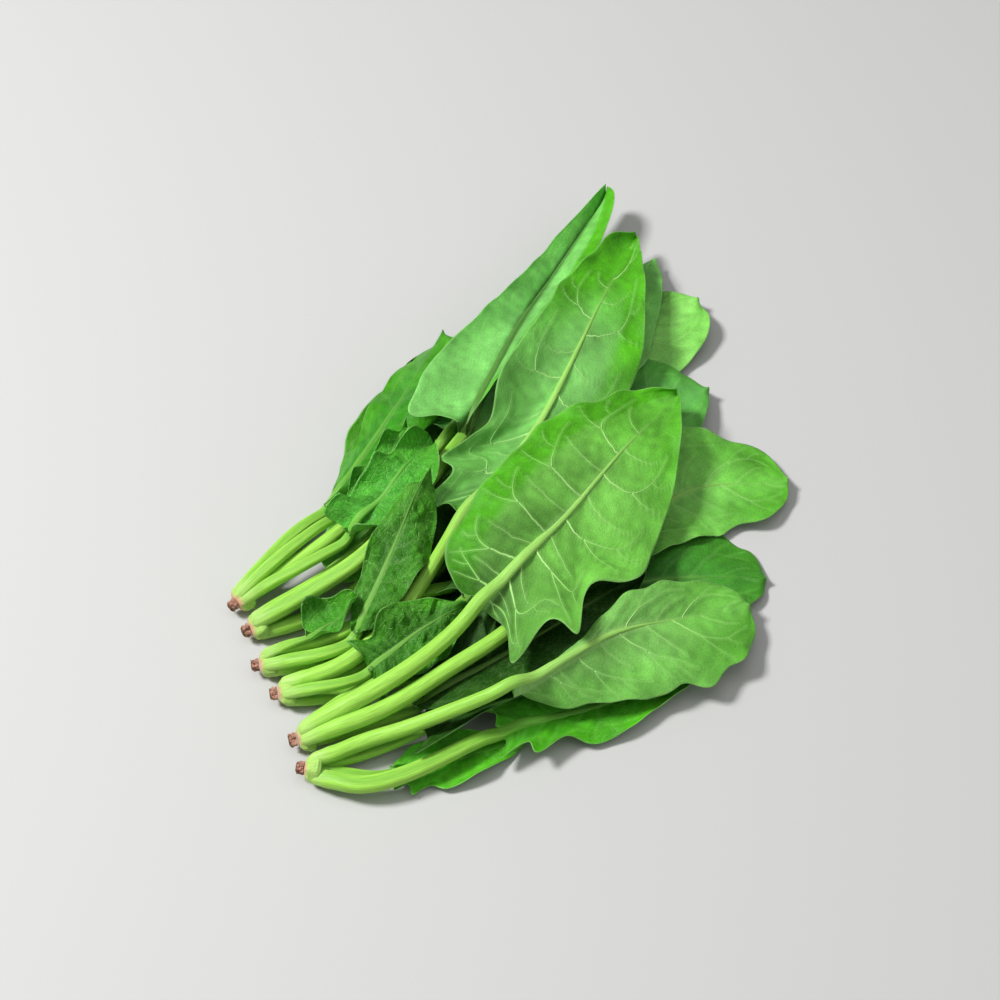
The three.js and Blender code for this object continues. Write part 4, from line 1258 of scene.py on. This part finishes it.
        # Painted shade: darker along the midrib where the blade is folded.
        painted_fold_shade = look.painted_fold_shade * bell(rib_gap / self.fold_shade_width) * ease(1.0, 0.8, a)
        tones = tones * (1 - painted_fold_shade)[..., None]
        margin = 0.4 * min(1.0, base[1] / 0.2)
        tones = blend(tones, self.MARGIN, margin * ease(0.965, 0.995, t))
        return np.clip(tones, 0, 1)

    def build(self, finishes: Sequence[bpy.types.Material]) -> bpy.types.Object:
        """Makes the leaf's object, which stands for its plant's solid.

        Args:
            finishes: a material for each of Finish, in its order.

        Returns:
            The object.
        """
        self.add_rib()
        self.add_veins()
        self.add_sheet()
        self.shell.corners = [part + self.shift for part in self.shell.corners]
        piece = self.shell.build(self.name, finishes)
        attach(piece, "root")
        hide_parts(f"plant_{self.leaf.plant}_leaves")
        return piece


# ---- Collars and roots ----
@dataclass
class Crown:
    """One plant's collar, where the stalks meet, and the pink stub of its cut root.

    Args:
        plant: number of the plant.
        solids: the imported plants.
        rng: the source of random numbers.
    """

    plant: int
    solids: Solids
    rng: np.random.Generator
    sides: int = 48  # corners round the axis
    rings: int = 36  # from the back to the face
    collar_rough: float = 0.06  # depth of its roughness, as a share of the radius
    root_rough: float = 0.24  # the same for the root
    folds: int = 5  # that run along each
    ripples: tuple[float, float] = (1.4, 0.5)  # lengths of the long and short ones, against half the radius
    rootlets: int = 4  # stubs of side roots
    rootlet_radius: tuple[float, float] = (0.36, 0.12)  # where they leave the root, and at their ends
    rootlet_foot: float = 1.5  # from the axis, inside the root
    rootlet_reach: float = 2.4  # from the axis to its end, before a random part is added
    rootlet_behind: tuple[float, float] = (6.2, 8.4)  # where they grow, behind the collar's face
    rootlet_steps: int = 5  # rings of each

    UP = np.array([0, 0, 1])
    GREEN = linear("#a6d566")  # the collar towards the stalks
    TAN = linear("#d3a184")  # and towards the root
    PINK = linear("#c1907c")
    BROWN = linear("#60442f")  # the dried cut of the root
    ROOTLET = linear("#8a6248")

    def __post_init__(self) -> None:
        """Places the crown."""
        at, heading = PLANTS[self.plant]
        turn = math.radians(heading)
        self.ahead = np.array([math.cos(turn), math.sin(turn), 0])
        self.left = np.array([-math.sin(turn), math.cos(turn), 0])
        self.face = np.array([*(np.array(at) + self.solids.shift), AXIS_HEIGHT])

    def turned(
        self, section: Sequence[Point], rough: float
    ) -> tuple[np.ndarray, np.ndarray, np.ndarray, np.ndarray]:
        """Turns a half section round the plant's axis and roughens it: the radius goes up and down with two
        ripples, a long and a short one, and with a cosine for the folds.

        Args:
            section: distance behind the collar's face, and radius.
            rough: depth of the roughness, as a share of the radius.

        Returns:
            Corners, faces, distances behind the face, and angles.
        """
        profile = np.array(section)[::-1]
        fine = np.linspace(0, len(profile) - 1, self.rings)
        behind, radius = hermite(np.arange(len(profile)), profile, fine).T[..., None]
        angle = np.arange(self.sides) * 2 * math.pi / self.sides
        round_x, round_y = 2 * np.cos(angle)[None] + 0 * behind, 2 * np.sin(angle)[None]
        noise = Ripple(self.rng, self.ripples[0]).at(round_x, round_y + behind / 4)
        pits = Ripple(self.rng, self.ripples[1]).at(round_x, round_y + behind / 2)
        phase = self.rng.uniform(0, 6)
        folds = np.cos(self.folds * angle + phase)[None]
        reach = radius * (1 + rough * (0.6 * noise + 0.3 * pits + 0.8 * folds))
        corners = (
            self.face
            - self.ahead * behind[..., None]
            + self.left * (reach * WIDER * np.cos(angle))[..., None]
            + self.UP * (reach * np.sin(angle))[..., None]
        )
        i = np.arange(1, self.sides - 2, 2)
        end = np.stack([np.zeros_like(i), i, i + 1, i + 2], 1)
        walls = grid_faces(self.rings, self.sides, closed=True)
        faces = np.vstack([walls, end, end[:, ::-1] + (self.rings - 1) * self.sides])[:, ::-1]
        behind = np.repeat(behind, self.sides, 1).ravel()
        return corners.reshape(-1, 3), faces, behind, np.tile(angle, self.rings)

    def build(self, collar_finish: bpy.types.Material, root_finish: bpy.types.Material) -> None:
        """Makes the collar and the root.

        Args:
            collar_finish: of the collar.
            root_finish: of the root.
        """
        corners, faces, behind, angle = self.turned(COLLAR, self.collar_rough)
        tones = blend(self.GREEN, self.TAN, ease(3.4, 5.6, behind + 0.5 * np.cos(3 * angle)))
        shell = Shell()
        shell.add(corners, faces, 0, tones, np.column_stack([behind, angle * 5]))
        collar = shell.build(f"plant_{self.plant}_collar", [collar_finish])
        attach(collar, "root")
        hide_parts(f"plant_{self.plant}_leaves")

        corners, faces, behind, angle = self.turned(ROOT, self.root_rough)
        dried = ease(7.8, 9.0, behind) + 0.35 * np.cos(4 * angle + behind)
        tones = blend(self.PINK, self.BROWN, np.clip(dried, 0, 1))
        shell = Shell()
        shell.add(corners, faces, 0, tones, np.column_stack([behind, angle * 3]))
        self.add_rootlets(shell)
        root = shell.build(f"plant_{self.plant}_cut_root", [root_finish])
        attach(root, "root")
        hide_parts(f"plant_{self.plant}_root")

    def add_rootlets(self, shell: Shell) -> None:
        """Adds the dry stubs of the side roots.

        Args:
            shell: of the root.
        """
        steps = self.rootlet_steps
        for _ in range(self.rootlets):
            angle = self.rng.uniform(0, 2 * math.pi)
            behind = self.rng.uniform(*self.rootlet_behind)
            out = self.left * math.cos(angle) + self.UP * math.sin(angle)
            reach = np.linspace(self.rootlet_foot, self.rootlet_reach + self.rng.uniform(0.3, 0.9), steps)
            droop = -self.ahead * self.rng.uniform(0.1, 0.7)
            foot = self.face - self.ahead * behind
            centres = foot + out * reach[:, None] + droop * (reach - self.rootlet_foot)[:, None]
            centres[:, 2] = np.maximum(centres[:, 2], 0.5)
            radius = np.linspace(*self.rootlet_radius, steps)
            side = np.tile(np.cross(self.ahead, out), (steps, 1))
            corners, faces, _ = Tube(centres, side, radius, radius).surface(VEIN_SIDES)
            shell.add(corners, faces, 0, np.tile(self.ROOTLET, (len(corners), 1)), corners[:, :2])


# ---- Finishes ----
class Graph:
    """A material's node tree, with a short way to add nodes."""

    def __init__(self, name: str) -> None:
        """Starts an empty material.

        Args:
            name: of the material.
        """
        self.material = bpy.data.materials.new(name)
        self.material.use_nodes = True
        self.tree = self.material.node_tree
        self.tree.nodes.clear()

    def add(self, kind: str, inputs: dict | None = None, **settings: object) -> bpy.types.Node:
        """Adds a node.

        Args:
            kind: its type, without the words ShaderNode.
            inputs: values or sockets by input name or number.
            settings: its own properties.

        Returns:
            The node.
        """
        node = self.tree.nodes.new("ShaderNode" + kind)
        for key, value in settings.items():
            setattr(node, key, value)
        for key, value in (inputs or {}).items():
            if isinstance(value, bpy.types.NodeSocket):
                self.tree.links.new(value, node.inputs[key])
            else:
                node.inputs[key].default_value = value
        return node

    def math(self, operation: str, *values: float | bpy.types.NodeSocket) -> bpy.types.NodeSocket:
        """Adds a sum, product or the like of numbers or sockets, and gives its result."""
        return self.add("Math", dict(enumerate(values)), operation=operation).outputs[0]


@dataclass(frozen=True)
class Skin:
    """A living plant skin.

    Two nets of veins, the edges of irregular cells, are drawn in their own colour and raised or sunk. A grain
    makes the colour lighter and darker. The coarser cells are about twice the real ones, so that they can
    still be made out from where the whole bunch is seen; the finer ones are of the real size.

    Args:
        name: of the material.
        cell: size of the net of small veins, in millimetres.
        net: how strongly the net is drawn.
        net_colour: colour of the net.
        relief: height of the net, in millimetres.
        roughness: of the surface.
        glow: share of light that comes through.
        stretch: how much the grain is drawn out along the leaf.
        grain: how much lighter and darker the grain turns the colour.
    """

    name: str
    cell: float
    net: float
    net_colour: str
    relief: float
    roughness: float
    glow: float
    stretch: float = 1.0
    grain: float = 0.13

    NETS = ((1.0, 0.09), (0.36, 0.12))  # size against the cell, and how wide a line is
    FINE_NET = 0.4  # strength of the finer net
    BENDS = 0.5  # of the net's lines, in a millimetre
    BENT = 1.6  # how far they bend, in millimetres
    GRAINS = 1.3  # in a millimetre
    GRAIN_RELIEF = 0.12  # in millimetres
    IOR = 1.4  # of wax and of cells full of water
    GLOSS = 0.3  # specular level, lower than a polished skin's
    SCATTER = 0.08  # share of light that spreads inside
    SPREAD = (0.6 * MM, 1.2 * MM, 0.3 * MM)  # how far it does, where green goes farthest
    BUMP = 0.8  # strength of the relief

    def material(self) -> bpy.types.Material:
        """Builds the material.

        Returns:
            The material.
        """
        graph = Graph(self.name)
        tone = graph.add("Attribute", attribute_name="tone").outputs["Color"]
        skin = graph.add("UVMap", uv_map="skin").outputs["UV"]
        scale = (1 / self.stretch, 1.0, 1.0)
        place = graph.add("Mapping", {"Vector": skin, "Scale": scale}).outputs["Vector"]
        warp = graph.add("TexNoise", {"Vector": place, "Scale": self.BENDS, "Detail": 2.0}).outputs["Color"]
        far = (self.BENT, self.BENT, 0)
        bent = graph.add("VectorMath", {0: warp, 1: far}, operation="MULTIPLY").outputs[0]
        bent = graph.add("VectorMath", {0: place, 1: bent}, operation="ADD").outputs[0]
        lines = []
        for share, width in self.NETS:
            pace = 1 / (self.cell * share)
            net = graph.add(
                "TexVoronoi", {"Vector": bent, "Scale": pace},
                feature="DISTANCE_TO_EDGE", voronoi_dimensions="2D",
            ).outputs["Distance"]
            line = graph.add(
                "MapRange", {"Value": net, "From Min": 0.0, "From Max": width, "To Min": 1.0, "To Max": 0.0},
                interpolation_type="SMOOTHSTEP",
            )
            lines.append(line.outputs["Result"])
        both = graph.math("MAXIMUM", lines[0], graph.math("MULTIPLY", lines[1], self.FINE_NET))
        drawn = graph.math("MULTIPLY", both, self.net)
        net_colour = (*linear(self.net_colour), 1)
        net_tone = graph.add("Mix", {"Factor": 0.5, 6: tone, 7: net_colour}, data_type="RGBA").outputs[2]
        colour = graph.add("Mix", {"Factor": drawn, 6: tone, 7: net_tone}, data_type="RGBA").outputs[2]
        grain = graph.add("TexNoise", {"Vector": place, "Scale": self.GRAINS, "Detail": 5.0}).outputs["Fac"]
        shade = graph.add("MapRange", {
            "Value": grain,
            "From Min": 0.3,
            "From Max": 0.7,
            "To Min": 1 - self.grain,
            "To Max": 1 + self.grain,
        }).outputs["Result"]
        colour = graph.add("VectorMath", {0: colour, "Scale": shade}, operation="SCALE").outputs[0]
        height = graph.math("MULTIPLY", both, self.relief * MM)
        rough = graph.math("MULTIPLY_ADD", grain, self.GRAIN_RELIEF * MM, height)
        bump = graph.add("Bump", {"Height": rough, "Distance": 1.0, "Strength": self.BUMP})
        surface = graph.add("BsdfPrincipled", {
            "Base Color": colour,
            "Roughness": self.roughness,
            "IOR": self.IOR,
            "Specular IOR Level": self.GLOSS,
            "Normal": bump.outputs["Normal"],
            "Subsurface Weight": self.SCATTER,
            "Subsurface Radius": self.SPREAD,
            "Subsurface Scale": 1.0,
        })
        through = graph.add("BsdfTranslucent", {"Color": colour})
        mixed = graph.add("MixShader", {0: self.glow, 1: surface.outputs[0], 2: through.outputs[0]})
        graph.add("OutputMaterial", {"Surface": mixed.outputs[0]})
        return graph.material


# Each leaf skin, for its slot.
LEAF_SKINS = {
    # The matt underside: soft, pale green, with a net that sinks between the raised veins.
    Finish.UNDERSIDE: Skin("leaf_underside", 3.0, 0.3, "#8fce66", -0.10, 0.5, 0.22),
    # The smooth, waxy upper side: a deeper green with a wide, soft shine.
    Finish.UPPER: Skin("leaf_upper_side", 2.6, 0.28, "#7cc44e", -0.15, 0.38, 0.18),
    # Juicy stalks and veins: fine streaks lie along them, and their shine runs in long lines.
    Finish.STALK: Skin("stalk_and_veins", 1.6, 0.22, "#7fc44a", 0.06, 0.36, 0.12, stretch=11.0, grain=0.17),
    # The puckered upper side of a small leaf: deep seams between bulges break its shine into small spots.
    Finish.QUILTED_UPPER: Skin(
        "leaf_upper_side_puckered", 3.2, 0.55, "#8ed060", -0.45, 0.5, 0.14, grain=0.3
    ),
}
# The firm collar: pale, slightly streaked and nearly opaque.
COLLAR_SKIN = Skin("collar", 1.4, 0.4, "#d9c79a", 0.1, 0.45, 0.05, stretch=3.0)
# The dry cut root: dull and wrinkled, with brown lines on its pink skin.
ROOT_SKIN = Skin("cut_root", 1.1, 0.8, "#5a3a28", 0.35, 0.75, 0.0, stretch=2.0)


# ---- The set ----
@dataclass
class Studio:
    """Floor, lights and camera.

    Args:
        solids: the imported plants.
    """

    solids: Solids
    sight: tuple[float, float] = (-40.0, 55.0)  # azimuth and elevation of the camera, in degrees
    distance: float = 900.0  # from the bunch to the camera, in millimetres
    span: float = 420.0  # what the frame's width covers at that distance
    sensor: float = 36.0  # width of the camera's sensor, in millimetres
    aim: tuple[float, float, float] = (0.0, 0.0, 25.0)  # in the plan's own frame
    floor_size: float = 40.0  # in metres, so that its edge is never seen
    glow: float = 0.22  # strength of the even light from all around

    def floor(self) -> bpy.types.Object:
        """Makes the plain floor, a matt pale board that takes soft shadows.

        Returns:
            The floor.
        """
        bpy.ops.mesh.primitive_plane_add(size=self.floor_size)
        floor = bpy.context.object
        floor.name = "floor"
        graph = Graph("floor")
        paint = graph.add("BsdfPrincipled", {"Base Color": (0.5, 0.5, 0.49, 1), "Roughness": 0.7})
        graph.add("OutputMaterial", {"Surface": paint.outputs[0]})
        floor.data.materials.append(graph.material)
        return floor

    def light(
        self, name: str, place: tuple[float, float, float], size: float, power: float
    ) -> bpy.types.Object:
        """Makes one soft area light that looks at the bunch.

        Args:
            name: of the light.
            place: in metres.
            size: in metres.
            power: in watts.

        Returns:
            The light.
        """
        data = bpy.data.lights.new(name, "AREA")
        data.size = size
        data.energy = power
        lamp = bpy.data.objects.new(name, data)
        lamp.location = place
        lamp.rotation_euler = (-Vector(place)).to_track_quat("-Z", "Y").to_euler()
        bpy.context.scene.collection.objects.link(lamp)
        return lamp

    def camera(self) -> None:
        """Makes the camera."""
        azimuth, elevation = (math.radians(angle) for angle in self.sight)
        level = math.cos(elevation)
        back = np.array([math.sin(azimuth) * level, -math.cos(azimuth) * level, math.sin(elevation)])
        data = bpy.data.cameras.new("camera")
        data.sensor_width = self.sensor
        data.lens = self.sensor * self.distance / self.span
        camera = bpy.data.objects.new("camera", data)
        target = np.array(self.aim) + np.array([*self.solids.shift, 0])
        camera.location = (target + back * self.distance) * MM
        camera.rotation_euler = Vector(-back).to_track_quat("-Z", "Y").to_euler()
        bpy.context.scene.collection.objects.link(camera)
        bpy.context.scene.camera = camera

    def build(self) -> None:
        """Builds the set: a strong light from the far left, a weak broad one from the near right, and one
        overhead, in a faint even glow."""
        key = self.light("key", (-0.8, 0.8, 1.55), 0.4, 43.0)
        fill = self.light("fill", (0.9, -1.3, 1.3), 1.6, 6.0)
        top = self.light("top", (0.0, 0.0, 2.0), 1.4, 8.0)
        self.floor()
        world = bpy.data.worlds.new("studio")
        world.use_nodes = True
        around = world.node_tree.nodes["Background"].inputs
        around["Color"].default_value = (1.0, 1.0, 0.98, 1)
        around["Strength"].default_value = self.glow
        scene = bpy.context.scene
        scene.world = world
        scene.view_settings.view_transform = "Standard"
        scene.view_settings.look = "None"
        self.camera()


def main() -> None:
    """Builds the leaves, the crowns and the set."""
    logging.basicConfig(level=logging.INFO, format="%(name)s: %(message)s")
    rng = np.random.default_rng(SEED)
    solids = Solids()
    finishes = [LEAF_SKINS[finish].material() for finish in Finish]
    collar_finish, root_finish = COLLAR_SKIN.material(), ROOT_SKIN.material()
    counts = dict.fromkeys(PLANTS, 0)
    for leaf in LEAVES:
        counts[leaf.plant] += 1
        LeafModel(leaf, f"plant_{leaf.plant}_leaf_{counts[leaf.plant]}", solids, rng).build(finishes)
    for plant in PLANTS:
        Crown(plant, solids, rng).build(collar_finish, root_finish)
    Studio(solids).build()


if __name__ == "__main__":
    main()
